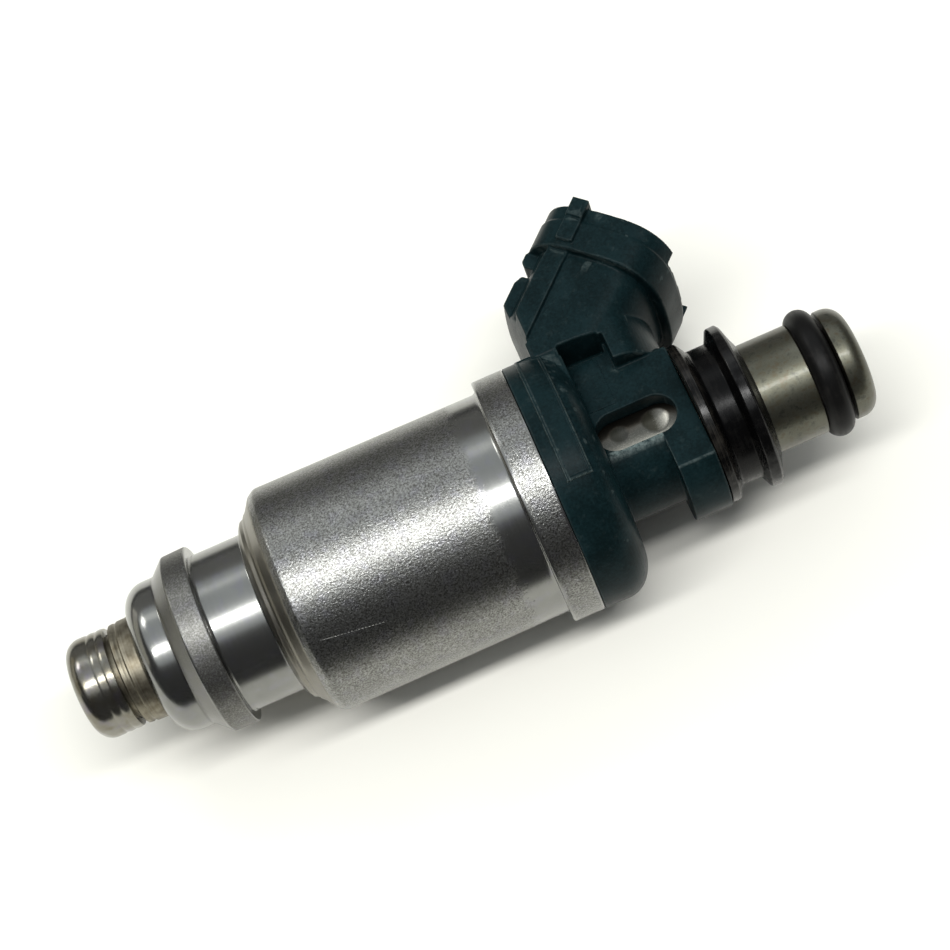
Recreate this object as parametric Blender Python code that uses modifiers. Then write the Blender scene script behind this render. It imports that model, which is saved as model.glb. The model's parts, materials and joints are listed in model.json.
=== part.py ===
# Top-feed solenoid fuel injector, lying on its side.
# World frame: +X runs along the injector from the nozzle tip to the fuel inlet,
# +Y is the side that the electrical connector leans to, +Z is up, and the origin is the centre of the tip.
# Sizes below are millimetres. Each piece is modelled standing on the tip, about its own Z axis,
# and an empty lays the whole assembly down along +X.
import math

import bmesh
import bpy
from mathutils import Matrix, Vector

MM = 0.001
STEPS = 28
FIT = 0.1
SEAT = 0.1
OVERCUT = 1.0

# Lengths along the axis, from the tip upwards
CAP_LENGTH = 4.5
NOSE_LENGTH = 2.9
LIP_LENGTH = 3.65
SEAT_FLANGE_LENGTH = 4.35
LOWER_NECK_LENGTH = 5.5
SHOULDER_LENGTH = 3.1
BODY_LENGTH = 23.95
RIM_LENGTH = 3.3
HOOD_LENGTH = 5.95
PLASTIC_NECK_LENGTH = 5.9
PLASTIC_COLLAR_LENGTH = 3.9
GROMMET_LENGTH = 6.3
INLET_NECK_LENGTH = 5.3
O_RING_GROOVE_LENGTH = 3.4
INLET_RIM_LENGTH = 2.25

# Outer radii
CAP_RADIUS = 5.3
CAP_CORNER = 1.75
CAP_RIB_DEPTH = 0.12
CAP_RIBS = 3
CAP_RIB_VALLEY = 0.35
NOSE_RADIUS_LOW = 5.0
NOSE_RADIUS_TOP = 5.4
LIP_RADIUS = 7.96
LIP_CORNER = 2.6
SEAT_FLANGE_RADIUS = 9.49
SEAT_FLANGE_SLOPE = 1.65
SEAT_FLANGE_CORNER = 0.4
LOWER_NECK_RADIUS = 8.37
SHOULDER_BEAD_RADIUS = 9.53
SHOULDER_BEAD_RISE = 0.43
SHOULDER_VALLEY_RADIUS = 10.05
SHOULDER_VALLEY_RISE = 1.33
BODY_CORNER_LENGTH = 0.56
BODY_CORNER_DEPTH = 0.33
BODY_RADIUS_LOW = 11.98
BODY_RADIUS_TOP = 11.78
RIM_RADIUS = 12.95
RIM_CORNER = 0.25
HOOD_CORNER_LENGTH = 3.2
HOOD_CORNER_DEPTH = 4.0
PLASTIC_NECK_RADIUS = 6.3
PLASTIC_COLLAR_RADIUS = 8.6
GROMMET_FLANGE_RADIUS = 8.5
GROMMET_LOWER_RADIUS = 8.4
GROMMET_HUB_RADIUS = 7.2
GROMMET_EDGE = 0.25
GROMMET_LIP_LENGTH = 0.8
GROMMET_FLANGE_LENGTH = 1.2
GROMMET_SLOPE_LENGTH = 0.6
INLET_RADIUS = 5.77
INLET_CORNER = 1.8

# Nozzle, needle and stop
CAP_FLOOR = 1.0
CAP_OPENING_RADIUS = 2.4
NOZZLE_SPIGOT_RADIUS = 4.4
SPRAY_PLATE_THICKNESS = 0.55
SPRAY_HOLE_RADIUS = 0.22
SPRAY_HOLE_CIRCLE = 1.0
SPRAY_HOLES = 4
LIP_WALL = 1.3
NOZZLE_FLANGE_RADIUS = 6.85
NOZZLE_TOP_ABOVE_SEAT = 0.75
NOZZLE_BORE_RADIUS = 1.8
ORIFICE_RADIUS = 0.5
ORIFICE_LENGTH = 0.95
NOZZLE_COUNTERBORE_RADIUS = 3.0
NOZZLE_COUNTERBORE_DEPTH = 1.6
NOZZLE_SEAL_SECTION = 0.62
NOZZLE_SEAL_GROOVE_LENGTH = 1.7
NEEDLE_STEM_RADIUS = 1.25
NEEDLE_TIP_RADIUS = 0.3
NEEDLE_LAND_LENGTH = 2.5
NEEDLE_STOP_RADIUS = 2.7
NEEDLE_STOP_LENGTH = 1.2
NEEDLE_HEAD_RADIUS = 1.45
NEEDLE_GRIP_LENGTH = 5.0
SPACER_THICKNESS = 1.5
STOP_GAP = 0.2

# Magnetic circuit
ARMATURE_RADIUS = 4.15
ARMATURE_BORE_CLEARANCE = 0.2
ARMATURE_LENGTH = 10.2
ARMATURE_BASE_ABOVE_STOP = 3.8
SPRING_POCKET_RADIUS = 2.5
SPRING_POCKET_DEPTH = 4.6
AIR_GAP = 0.2
CORE_RADIUS = 4.2
CORE_BORE_RADIUS = 2.45
INLET_BORE_RADIUS = 3.0
INLET_BORE_DEPTH = 14.0
BORE_CONE_LENGTH = 3.0
CHAMBER_RADIUS = 10.85
CHAMBER_FLOOR_ABOVE_SHOULDER = 0.6
SEAL_RECESS_RADIUS = 6.1
SEAL_RECESS_DEPTH = 1.7
COIL_SEAL_SECTION = 0.6
RIM_BORE_RADIUS = 11.9
COVER_PLATE_THICKNESS = 1.9
LEAD_NOTCH_MARGIN = 0.5

# Coil
BOBBIN_BORE_RADIUS = 4.5
BOBBIN_TUBE_RADIUS = 5.4
BOBBIN_FLANGE_RADIUS = 10.5
BOBBIN_FLANGE_THICKNESS = 1.7
WINDING_RADIUS = 9.5
WINDING_RIDGES = 6
WINDING_RIDGE_DEPTH = 0.18
TAPE_THICKNESS = 0.3

# Return spring and its adjuster
SPRING_MEAN_RADIUS = 1.85
SPRING_WIRE_RADIUS = 0.3
SPRING_LENGTH = 12.0
SPRING_CURLS = 9
SPRING_POINTS_PER_CURL = 9
ADJUSTER_RADIUS = 2.3
ADJUSTER_BORE_RADIUS = 1.5
ADJUSTER_LENGTH = 22.0

# Seals and filter at the inlet
RAIL_SEAL_SECTION = 1.42
RAIL_SEAL_GROOVE_RADIUS = 3.85
FILTER_RIM_LENGTH = 2.4
FILTER_RIM_BELOW_END = 0.9
FILTER_BODY_RADIUS = 2.2
FILTER_BORE_RADIUS = 1.65
FILTER_BODY_LENGTH = 8.6
FILTER_FLOOR = 0.8
FILTER_WINDOW_LENGTH = 6.4
FILTER_WINDOW_WIDTH = 1.9
SCREEN_THICKNESS = 0.25

# Plastic body: flat-sided neck, windows and the slanted connector
FLAT_HALF_WIDTH = 5.8
NECK_BLOCK_HALF_WIDTH = 6.6
NECK_BLOCK_TOP = 6.5
CHEEK_INNER_MARGIN = 0.6
BLOCK_INTO_THROAT = 2.0
WINDOW_LENGTH = 8.4
WINDOW_RADIUS = 2.15
WINDOW_ABOVE_HOOD = 4.0
POCKET_LENGTH = 4.3
POCKET_HEIGHT = 1.0
POCKET_INNER = 3.9
CONNECTOR_ANGLE = 45.0
CONNECTOR_BEND_ABOVE_RIM = 2.75
CONNECTOR_REACH = 18.385
OVAL_POWER = 2 / 3
OVAL_POINTS = 36
SHROUD_HALF_WIDTH = 9.87
SHROUD_HALF_DEPTH = 7.63
SHROUD_LENGTH = 4.9
THROAT_STEP = 1.1
SOCKET_WALL = 2.4
SOCKET_DEPTH = 10.5
LIP_NOTCH_HALF_WIDTH = 5.4
LIP_NOTCH_DEPTH = 1.4
KEY_WIDTH = 1.8
KEY_CENTRE = -2.5
KEY_PROUD = 0.75
KEY_PAST_RIM = 0.45
GUIDE_WIDTH = 2.2
GUIDE_CENTRE = -3.05
GUIDE_PROUD = 0.5
BACK_PAD_HALF_WIDTH = 6.1
BACK_PAD_PROUD = 0.5
BACK_PAD_TOP = 7.7
BACK_BAR_HALF_WIDTH = 6.2
BACK_BAR_LENGTH = 1.9
BACK_WALL_ABOVE_RIM = 2.95
THROAT_UNDERSIDE = 9.7
HEEL_HALF_WIDTH = 8.0
HEEL_LENGTH = 5.2
HEEL_TOP = 13.6
TERMINAL_SPACING = 5.2
TERMINAL_WIDTH = 1.8
TERMINAL_THICKNESS = 0.8
TERMINAL_BELOW_MOUTH = 2.6
TERMINAL_LEG_RADIUS = 8.3
TERMINAL_CLEARANCE = 0.12

# Stations on the axis, worked out from the lengths
lip_z = CAP_LENGTH + NOSE_LENGTH
seat_z = lip_z + LIP_LENGTH
neck_z = seat_z + SEAT_FLANGE_LENGTH
shoulder_z = neck_z + LOWER_NECK_LENGTH
body_z = shoulder_z + SHOULDER_LENGTH
rim_z = body_z + BODY_LENGTH
hood_z = rim_z + RIM_LENGTH
plastic_neck_z = hood_z + HOOD_LENGTH
collar_z = plastic_neck_z + PLASTIC_NECK_LENGTH
collar_top_z = collar_z + PLASTIC_COLLAR_LENGTH
grommet_z = collar_top_z + SEAT
grommet_top_z = grommet_z + GROMMET_LENGTH
groove_z = grommet_top_z + INLET_NECK_LENGTH
inlet_rim_z = groove_z + O_RING_GROOVE_LENGTH
inlet_z = inlet_rim_z + INLET_RIM_LENGTH

nozzle_end_z = CAP_FLOOR + SPRAY_PLATE_THICKNESS + 2 * SEAT
nozzle_flange_z = lip_z + LIP_WALL + SEAT
nozzle_top_z = neck_z + NOZZLE_TOP_ABOVE_SEAT
spacer_z = nozzle_top_z + SEAT
stop_z = spacer_z + SPACER_THICKNESS + SEAT
nozzle_pocket_radius = NOZZLE_FLANGE_RADIUS + FIT
chamber_z = body_z + CHAMBER_FLOOR_ABOVE_SHOULDER
bobbin_z = chamber_z + SEAT
cover_z = rim_z + SEAT
bobbin_top_z = cover_z - 3 * SEAT
plug_z = cover_z + COVER_PLATE_THICKNESS + SEAT
armature_z = stop_z + ARMATURE_BASE_ABOVE_STOP
armature_top_z = armature_z + ARMATURE_LENGTH
core_z = armature_top_z + AIR_GAP
spring_seat_z = armature_top_z - SPRING_POCKET_DEPTH
spring_z = spring_seat_z + SEAT
adjuster_z = spring_z + SPRING_LENGTH + SEAT
back_wall_z = hood_z + BACK_WALL_ABOVE_RIM
bend_z = hood_z + CONNECTOR_BEND_ABOVE_RIM

ANGLE = math.radians(CONNECTOR_ANGLE)
# Connector frame: across (lateral), down (in the plane of symmetry, towards the inlet) and out of the mouth
OUT = Vector((math.sin(ANGLE), 0.0, math.cos(ANGLE)))
DOWN = Vector((-math.cos(ANGLE), 0.0, math.sin(ANGLE)))
ACROSS = Vector((0.0, 1.0, 0.0))
MOUTH = Vector((TERMINAL_LEG_RADIUS, 0.0, bend_z)) + OUT * CONNECTOR_REACH


def frame_of(across, up, along, origin):
    rows = [[across[i], up[i], along[i], origin[i] * MM] for i in range(3)]
    return Matrix(rows + [[0.0, 0.0, 0.0, 1.0]])


CONNECTOR_FRAME = frame_of(ACROSS, DOWN, OUT, MOUTH)
# Side frame: along the injector, out to the connector side, and across
SIDE_FRAME = frame_of((0, 0, 1), (1, 0, 0), (0, 1, 0), (0, 0, 0))

for old in list(bpy.data.objects):
    bpy.data.objects.remove(old, do_unlink=True)

parts = bpy.data.collections.new("fuel_injector")
cutters = bpy.data.collections.new("fuel_injector_cutters")
bpy.context.scene.collection.children.link(parts)
bpy.context.scene.collection.children.link(cutters)

axis = bpy.data.objects.new("injector_axis", None)
axis.matrix_world = Matrix(((0, 0, 1, 0), (1, 0, 0, 0), (0, 1, 0, 0), (0, 0, 0, 1)))
parts.objects.link(axis)


def material(name, colour, roughness, metallic):
    made = bpy.data.materials.get(name) or bpy.data.materials.new(name)
    made.use_nodes = True
    shader = made.node_tree.nodes["Principled BSDF"]
    shader.inputs["Base Color"].default_value = (*colour, 1.0)
    shader.inputs["Roughness"].default_value = roughness
    shader.inputs["Metallic"].default_value = metallic
    return made


BLASTED_STEEL = ("blasted_steel", (0.42, 0.42, 0.42), 0.45, 1.0)
BRIGHT_STEEL = ("bright_steel", (0.55, 0.54, 0.52), 0.25, 1.0)
TEMPERED_STEEL = ("tempered_steel", (0.36, 0.28, 0.2), 0.35, 1.0)
DARK_STEEL = ("dark_steel", (0.3, 0.3, 0.3), 0.4, 1.0)
SPRING_STEEL = ("spring_steel", (0.35, 0.35, 0.37), 0.3, 1.0)
GREEN_PLASTIC = ("green_plastic", (0.02, 0.045, 0.045), 0.5, 0.0)
BLACK_RUBBER = ("black_rubber", (0.015, 0.015, 0.015), 0.7, 0.0)
PALE_PLASTIC = ("pale_plastic", (0.6, 0.55, 0.4), 0.5, 0.0)
COPPER = ("copper", (0.7, 0.32, 0.16), 0.35, 1.0)
TAPE = ("tape", (0.55, 0.42, 0.1), 0.6, 0.0)
TIN = ("tin", (0.7, 0.7, 0.7), 0.3, 1.0)
GAUZE = ("gauze", (0.5, 0.5, 0.45), 0.6, 0.0)


def place(mesh, name, finish=None):
    made = bpy.data.objects.new(name, mesh)
    made.parent = axis
    if finish:
        parts.objects.link(made)
        mesh.materials.append(material(*finish))
    else:
        cutters.objects.link(made)
        made.hide_render = True
        made.display_type = "WIRE"
    mesh.shade_smooth()
    return made


def turned(name, profile, finish=None, steps=STEPS):
    """Spins (radius, height) points that run down the outer side; it closes unless it ends on the axis."""
    mesh = bpy.data.meshes.new(name)
    points = [(radius * MM, 0.0, height * MM) for radius, height in profile]
    edges = [(i, i + 1) for i in range(len(points) - 1)]
    if profile[0][0] > 0:
        edges.append((len(points) - 1, 0))
    mesh.from_pydata(points, edges, [])
    made = place(mesh, name, finish)
    screw = made.modifiers.new("spin", "SCREW")
    screw.axis = "Z"
    screw.angle = 2 * math.pi
    screw.steps = screw.render_steps = steps
    screw.use_merge_vertices = True
    screw.merge_threshold = 1e-6
    screw.use_smooth_shade = True
    return made


def extruded(name, outline, start, end, frame, finish=None):
    """Extrudes a flat outline along the third axis of the frame, from start to end."""
    grid = bmesh.new()
    corners = [grid.verts.new((u * MM, v * MM, start * MM)) for u, v in outline]
    grown = bmesh.ops.extrude_face_region(grid, geom=[grid.faces.new(corners)])
    moved = [item for item in grown["geom"] if isinstance(item, bmesh.types.BMVert)]
    bmesh.ops.translate(grid, verts=moved, vec=(0, 0, (end - start) * MM))
    bmesh.ops.recalc_face_normals(grid, faces=grid.faces)
    bmesh.ops.transform(grid, matrix=frame, verts=grid.verts)
    mesh = bpy.data.meshes.new(name)
    grid.to_mesh(mesh)
    grid.free()
    made = place(mesh, name, finish)
    mesh.set_sharp_from_angle(angle=math.radians(35))
    return made


def box(name, low, high, frame):
    outline = [(low[0], low[1]), (high[0], low[1]), (high[0], high[1]), (low[0], high[1])]
    return extruded(name, outline, low[2], high[2], frame)


def combine(target, other, operation):
    cut = target.modifiers.new(other.name, "BOOLEAN")
    cut.operation = operation
    cut.object = other


def arc(centre_r, centre_z, radius_r, radius_z, start, end, points):
    """Points of an ellipse's arc, with angles in degrees from its first axis."""
    found = []
    for i in range(points):
        turn = math.radians(start + (end - start) * i / (points - 1))
        found.append((centre_r + radius_r * math.cos(turn), centre_z + radius_z * math.sin(turn)))
    return found


def oval(half_width, half_depth):
    """A squared oval, half_width across and half_depth up and down."""
    found = []
    for i in range(OVAL_POINTS):
        turn = 2 * math.pi * i / OVAL_POINTS
        c, s = math.cos(turn), math.sin(turn)
        across = half_width * math.copysign(abs(c) ** OVAL_POWER, c)
        found.append((across, half_depth * math.copysign(abs(s) ** OVAL_POWER, s)))
    return found


def ring(name, centre_radius, section, height, finish, steps=STEPS):
    return turned(name, arc(centre_radius, height, section, section, 90, -225, 8), finish, steps)


def nozzle_pieces():
    ribs = []
    rib_pitch = (CAP_LENGTH - CAP_CORNER) / CAP_RIBS
    for i in range(CAP_RIBS):
        top = CAP_LENGTH - i * rib_pitch
        ribs.append((CAP_RADIUS - CAP_RIB_DEPTH, top))
        ribs.append((CAP_RADIUS, top - CAP_RIB_VALLEY))
        ribs.append((CAP_RADIUS, top - rib_pitch + CAP_RIB_VALLEY))
    spigot_bore = NOZZLE_SPIGOT_RADIUS + FIT
    cap = ribs + arc(CAP_RADIUS - CAP_CORNER, CAP_CORNER, CAP_CORNER, CAP_CORNER, 0, -90, 5)
    cap += [(CAP_OPENING_RADIUS + CAP_FLOOR / 2, 0), (CAP_OPENING_RADIUS, CAP_FLOOR / 2)]
    cap += [(CAP_OPENING_RADIUS, CAP_FLOOR), (spigot_bore, CAP_FLOOR), (spigot_bore, CAP_LENGTH)]
    turned("nozzle_cap", cap, BRIGHT_STEEL)

    plate_z = CAP_FLOOR + SEAT
    plate_top = plate_z + SPRAY_PLATE_THICKNESS
    disc = [(0, plate_top), (NOZZLE_SPIGOT_RADIUS, plate_top), (NOZZLE_SPIGOT_RADIUS, plate_z), (0, plate_z)]
    plate = turned("spray_plate", disc, BRIGHT_STEEL, 24)
    for i in range(SPRAY_HOLES):
        turn = 2 * math.pi * (i + 0.5) / SPRAY_HOLES
        mid = (SPRAY_HOLE_CIRCLE * math.cos(turn), SPRAY_HOLE_CIRCLE * math.sin(turn), 0)
        hole = extruded(
            f"spray_hole_{i}",
            arc(0, 0, SPRAY_HOLE_RADIUS, SPRAY_HOLE_RADIUS, 0, 315, 8),
            plate_z - OVERCUT / 2,
            plate_top + OVERCUT / 2,
            frame_of((1, 0, 0), (0, 1, 0), (0, 0, 1), mid),
        )
        combine(plate, hole, "DIFFERENCE")

    seat_top = nozzle_end_z + ORIFICE_LENGTH + NOZZLE_BORE_RADIUS - ORIFICE_RADIUS
    seal_mid = (nozzle_flange_z + nozzle_top_z) / 2
    groove = NOZZLE_SEAL_GROOVE_LENGTH / 2
    groove_radius = nozzle_pocket_radius - 2 * NOZZLE_SEAL_SECTION - 2 * FIT
    counterbore_z = nozzle_top_z - NOZZLE_COUNTERBORE_DEPTH
    body = [
        (NOZZLE_COUNTERBORE_RADIUS, nozzle_top_z),
        (NOZZLE_FLANGE_RADIUS, nozzle_top_z),
        (NOZZLE_FLANGE_RADIUS, seal_mid + groove),
        (groove_radius, seal_mid + groove),
        (groove_radius, seal_mid - groove),
        (NOZZLE_FLANGE_RADIUS, seal_mid - groove),
        (NOZZLE_FLANGE_RADIUS, nozzle_flange_z),
        (NOSE_RADIUS_TOP, nozzle_flange_z),
        (NOSE_RADIUS_TOP, lip_z),
        (NOSE_RADIUS_LOW, CAP_LENGTH + 3 * SEAT),
        (NOZZLE_SPIGOT_RADIUS, CAP_LENGTH + 3 * SEAT),
        (NOZZLE_SPIGOT_RADIUS, nozzle_end_z),
        (ORIFICE_RADIUS, nozzle_end_z),
        (ORIFICE_RADIUS, nozzle_end_z + ORIFICE_LENGTH),
        (NOZZLE_BORE_RADIUS, seat_top),
        (NOZZLE_BORE_RADIUS, counterbore_z),
        (NOZZLE_COUNTERBORE_RADIUS, counterbore_z),
    ]
    turned("nozzle_body", body, TEMPERED_STEEL)
    seal_radius = groove_radius + NOZZLE_SEAL_SECTION + FIT
    ring("nozzle_seal", seal_radius, NOZZLE_SEAL_SECTION, seal_mid, BLACK_RUBBER)

    land = NOZZLE_BORE_RADIUS - FIT
    cone_z = seat_top + SEAT
    stop_top = nozzle_top_z + SEAT - STOP_GAP
    stop_low = stop_top - NEEDLE_STOP_LENGTH
    needle = [
        (0, armature_z + NEEDLE_GRIP_LENGTH),
        (NEEDLE_HEAD_RADIUS, armature_z + NEEDLE_GRIP_LENGTH),
        (NEEDLE_HEAD_RADIUS, stop_z + FIT),
        (NEEDLE_STEM_RADIUS, stop_z + FIT),
        (NEEDLE_STEM_RADIUS, stop_top),
        (NEEDLE_STOP_RADIUS, stop_top),
        (NEEDLE_STOP_RADIUS, stop_low),
        (land, stop_low),
        (land, stop_low - NEEDLE_LAND_LENGTH),
        (NEEDLE_STEM_RADIUS, stop_low - NEEDLE_LAND_LENGTH),
        (NEEDLE_STEM_RADIUS, cone_z + NEEDLE_LAND_LENGTH),
        (land, cone_z + NEEDLE_LAND_LENGTH),
        (land, cone_z),
        (NEEDLE_TIP_RADIUS, cone_z - land + NEEDLE_TIP_RADIUS),
        (0, cone_z - land + NEEDLE_TIP_RADIUS),
    ]
    turned("needle_valve", needle, BRIGHT_STEEL, 24)

    spacer_top = spacer_z + SPACER_THICKNESS
    edge = NOZZLE_FLANGE_RADIUS
    washer = [(0, spacer_top), (edge, spacer_top), (edge, spacer_z), (0, spacer_z)]
    spacer = turned("stopper_spacer", washer, DARK_STEEL)
    gap = NEEDLE_STEM_RADIUS + FIT
    round_end = [(-gap * math.sin(i * math.pi / 8), gap * math.cos(i * math.pi / 8)) for i in range(9)]
    slot = extruded(
        "spacer_slot",
        round_end + [(NOZZLE_FLANGE_RADIUS + OVERCUT, -gap), (NOZZLE_FLANGE_RADIUS + OVERCUT, gap)],
        spacer_z - OVERCUT,
        spacer_top + OVERCUT,
        frame_of((1, 0, 0), (0, 1, 0), (0, 0, 1), (0, 0, 0)),
    )
    combine(spacer, slot, "DIFFERENCE")


def housing():
    profile = [
        (RIM_BORE_RADIUS, hood_z),
        (RIM_RADIUS - RIM_CORNER, hood_z),
        (RIM_RADIUS, hood_z - RIM_CORNER),
        (RIM_RADIUS, rim_z + RIM_CORNER),
        (RIM_RADIUS - RIM_CORNER, rim_z),
        (BODY_RADIUS_TOP + RIM_CORNER, rim_z),
        (BODY_RADIUS_TOP, rim_z - RIM_CORNER),
        (BODY_RADIUS_LOW, body_z),
        (BODY_RADIUS_LOW - BODY_CORNER_DEPTH, body_z - BODY_CORNER_LENGTH),
        (SHOULDER_VALLEY_RADIUS, shoulder_z + SHOULDER_VALLEY_RISE),
        (SHOULDER_BEAD_RADIUS, shoulder_z + SHOULDER_BEAD_RISE),
        (LOWER_NECK_RADIUS, shoulder_z),
        (LOWER_NECK_RADIUS, neck_z),
    ]
    corner = SEAT_FLANGE_CORNER
    profile += arc(SEAT_FLANGE_RADIUS - corner, neck_z - corner, corner, corner, 90, 0, 3)
    profile += [
        (SEAT_FLANGE_RADIUS, seat_z + SEAT_FLANGE_SLOPE + corner),
        (SEAT_FLANGE_RADIUS - corner / 2, seat_z + SEAT_FLANGE_SLOPE),
        (LIP_RADIUS, seat_z),
    ]
    lip_corner = min(LIP_CORNER, LIP_LENGTH - FIT)
    profile += arc(LIP_RADIUS - lip_corner, lip_z + lip_corner, lip_corner, lip_corner, 0, -90, 5)
    armature_bore = ARMATURE_RADIUS + ARMATURE_BORE_CLEARANCE
    recess_z = chamber_z - SEAL_RECESS_DEPTH
    profile += [
        (NOSE_RADIUS_TOP + FIT, lip_z),
        (NOSE_RADIUS_TOP + FIT, lip_z + LIP_WALL),
        (nozzle_pocket_radius, lip_z + LIP_WALL),
        (nozzle_pocket_radius, stop_z),
        (armature_bore, stop_z),
        (armature_bore, recess_z),
        (SEAL_RECESS_RADIUS, recess_z),
        (SEAL_RECESS_RADIUS, chamber_z),
        (CHAMBER_RADIUS, chamber_z),
        (CHAMBER_RADIUS, rim_z),
        (RIM_BORE_RADIUS, rim_z),
    ]
    turned("solenoid_housing", profile, BLASTED_STEEL)


def moving_core():
    pocket = SPRING_POCKET_RADIUS
    bore = NEEDLE_HEAD_RADIUS + FIT
    profile = [
        (pocket, armature_top_z),
        (ARMATURE_RADIUS, armature_top_z),
        (ARMATURE_RADIUS, armature_z),
        (bore, armature_z),
        (bore, spring_seat_z),
        (pocket, spring_seat_z),
    ]
    turned("armature", profile, DARK_STEEL)


def return_spring():
    """An open helix between the armature and the adjuster, with half a flat curl at each end."""
    rise = SPRING_LENGTH - 2 * SPRING_WIRE_RADIUS
    count = SPRING_CURLS * SPRING_POINTS_PER_CURL
    points = []
    for i in range(count + 1):
        turn = 2 * math.pi * i / SPRING_POINTS_PER_CURL
        height = spring_z + SPRING_WIRE_RADIUS + rise * i / count
        reach = SPRING_MEAN_RADIUS
        points.append(Vector((reach * math.cos(turn), reach * math.sin(turn), height)))
    least = min(
        (points[i] - points[j]).length - 2 * SPRING_WIRE_RADIUS
        for i in range(count + 1)
        for j in range(i + SPRING_POINTS_PER_CURL // 2, count + 1)
    )
    print(f"return_spring least gap to itself {least:.2f} mm")
    wire = bpy.data.curves.new("return_spring", "CURVE")
    wire.dimensions = "3D"
    wire.bevel_depth = SPRING_WIRE_RADIUS * MM
    wire.bevel_resolution = 1
    wire.use_fill_caps = True
    spline = wire.splines.new("POLY")
    spline.points.add(count)
    for point, place_at in zip(spline.points, points):
        point.co = (*(place_at * MM), 1.0)
    wire.materials.append(material(*SPRING_STEEL))
    made = bpy.data.objects.new("return_spring", wire)
    made.parent = axis
    parts.objects.link(made)


def fuel_core():
    bore_top = inlet_z - INLET_BORE_DEPTH
    profile = [(INLET_BORE_RADIUS, inlet_z)]
    profile += arc(INLET_RADIUS - INLET_CORNER, inlet_z - INLET_CORNER, INLET_CORNER, INLET_CORNER, 90, 0, 5)
    profile += [
        (INLET_RADIUS, inlet_rim_z),
        (RAIL_SEAL_GROOVE_RADIUS, inlet_rim_z),
        (RAIL_SEAL_GROOVE_RADIUS, groove_z),
        (INLET_RADIUS, groove_z),
        (INLET_RADIUS, grommet_z),
        (CORE_RADIUS, grommet_z),
        (CORE_RADIUS, core_z),
        (CORE_BORE_RADIUS, core_z),
        (CORE_BORE_RADIUS, bore_top - BORE_CONE_LENGTH),
        (INLET_BORE_RADIUS, bore_top),
    ]
    turned("fuel_inlet_core", profile, BRIGHT_STEEL)

    adjuster_top = adjuster_z + ADJUSTER_LENGTH
    tube = [
        (ADJUSTER_BORE_RADIUS, adjuster_top),
        (ADJUSTER_RADIUS, adjuster_top),
        (ADJUSTER_RADIUS, adjuster_z),
        (ADJUSTER_BORE_RADIUS, adjuster_z),
    ]
    turned("spring_adjuster", tube, BRIGHT_STEEL, 24)

    seal_z = groove_z + RAIL_SEAL_SECTION + SEAT
    seal_radius = RAIL_SEAL_GROOVE_RADIUS + RAIL_SEAL_SECTION + FIT / 2
    ring("rail_o_ring", seal_radius, RAIL_SEAL_SECTION, seal_z, BLACK_RUBBER)


def grommet():
    lip, slope = GROMMET_LIP_LENGTH, GROMMET_SLOPE_LENGTH
    bore = INLET_RADIUS + FIT
    flange_z = grommet_top_z - lip - GROMMET_FLANGE_LENGTH
    profile = [
        (bore, grommet_top_z),
        (GROMMET_FLANGE_RADIUS - GROMMET_EDGE, grommet_top_z - lip),
        (GROMMET_FLANGE_RADIUS, grommet_top_z - lip - GROMMET_EDGE),
        (GROMMET_FLANGE_RADIUS, flange_z),
        (GROMMET_HUB_RADIUS, flange_z - slope),
        (GROMMET_HUB_RADIUS, grommet_z + lip + slope),
        (GROMMET_LOWER_RADIUS, grommet_z + lip),
        (GROMMET_LOWER_RADIUS, grommet_z),
        (bore, grommet_z),
    ]
    turned("rail_grommet", profile, BLACK_RUBBER)


def inlet_filter():
    rim_top = inlet_z - FILTER_RIM_BELOW_END
    rim_low = rim_top - FILTER_RIM_LENGTH
    low = rim_low - FILTER_BODY_LENGTH
    rim = INLET_BORE_RADIUS - FIT
    profile = [
        (FILTER_BORE_RADIUS, rim_top),
        (rim, rim_top),
        (rim, rim_low),
        (FILTER_BODY_RADIUS, rim_low),
        (FILTER_BODY_RADIUS, low),
        (0, low),
    ]
    cup = [(0, low + FILTER_FLOOR), (FILTER_BORE_RADIUS, low + FILTER_FLOOR)] + profile
    frame = turned("inlet_filter_frame", cup, PALE_PLASTIC, 24)
    window_z = low + FILTER_FLOOR + (FILTER_BODY_LENGTH - FILTER_FLOOR - FILTER_WINDOW_LENGTH) / 2
    reach = FILTER_BODY_RADIUS + OVERCUT
    half = FILTER_WINDOW_WIDTH / 2
    upright = frame_of((1, 0, 0), (0, 1, 0), (0, 0, 1), (0, 0, 0))
    for name, low_corner, high_corner in (
        ("filter_window_side", (-reach, -half), (reach, half)),
        ("filter_window_front", (-half, -reach), (half, reach)),
    ):
        window = box(name, (*low_corner, window_z), (*high_corner, window_z + FILTER_WINDOW_LENGTH), upright)
        combine(frame, window, "DIFFERENCE")

    outer = FILTER_BORE_RADIUS - FIT
    screen_low, screen_top = low + FILTER_FLOOR + SEAT, rim_top - SEAT
    sleeve = [
        (outer - SCREEN_THICKNESS, screen_top),
        (outer, screen_top),
        (outer, screen_low),
        (outer - SCREEN_THICKNESS, screen_low),
    ]
    turned("filter_screen", sleeve, GAUZE, 24)


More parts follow.
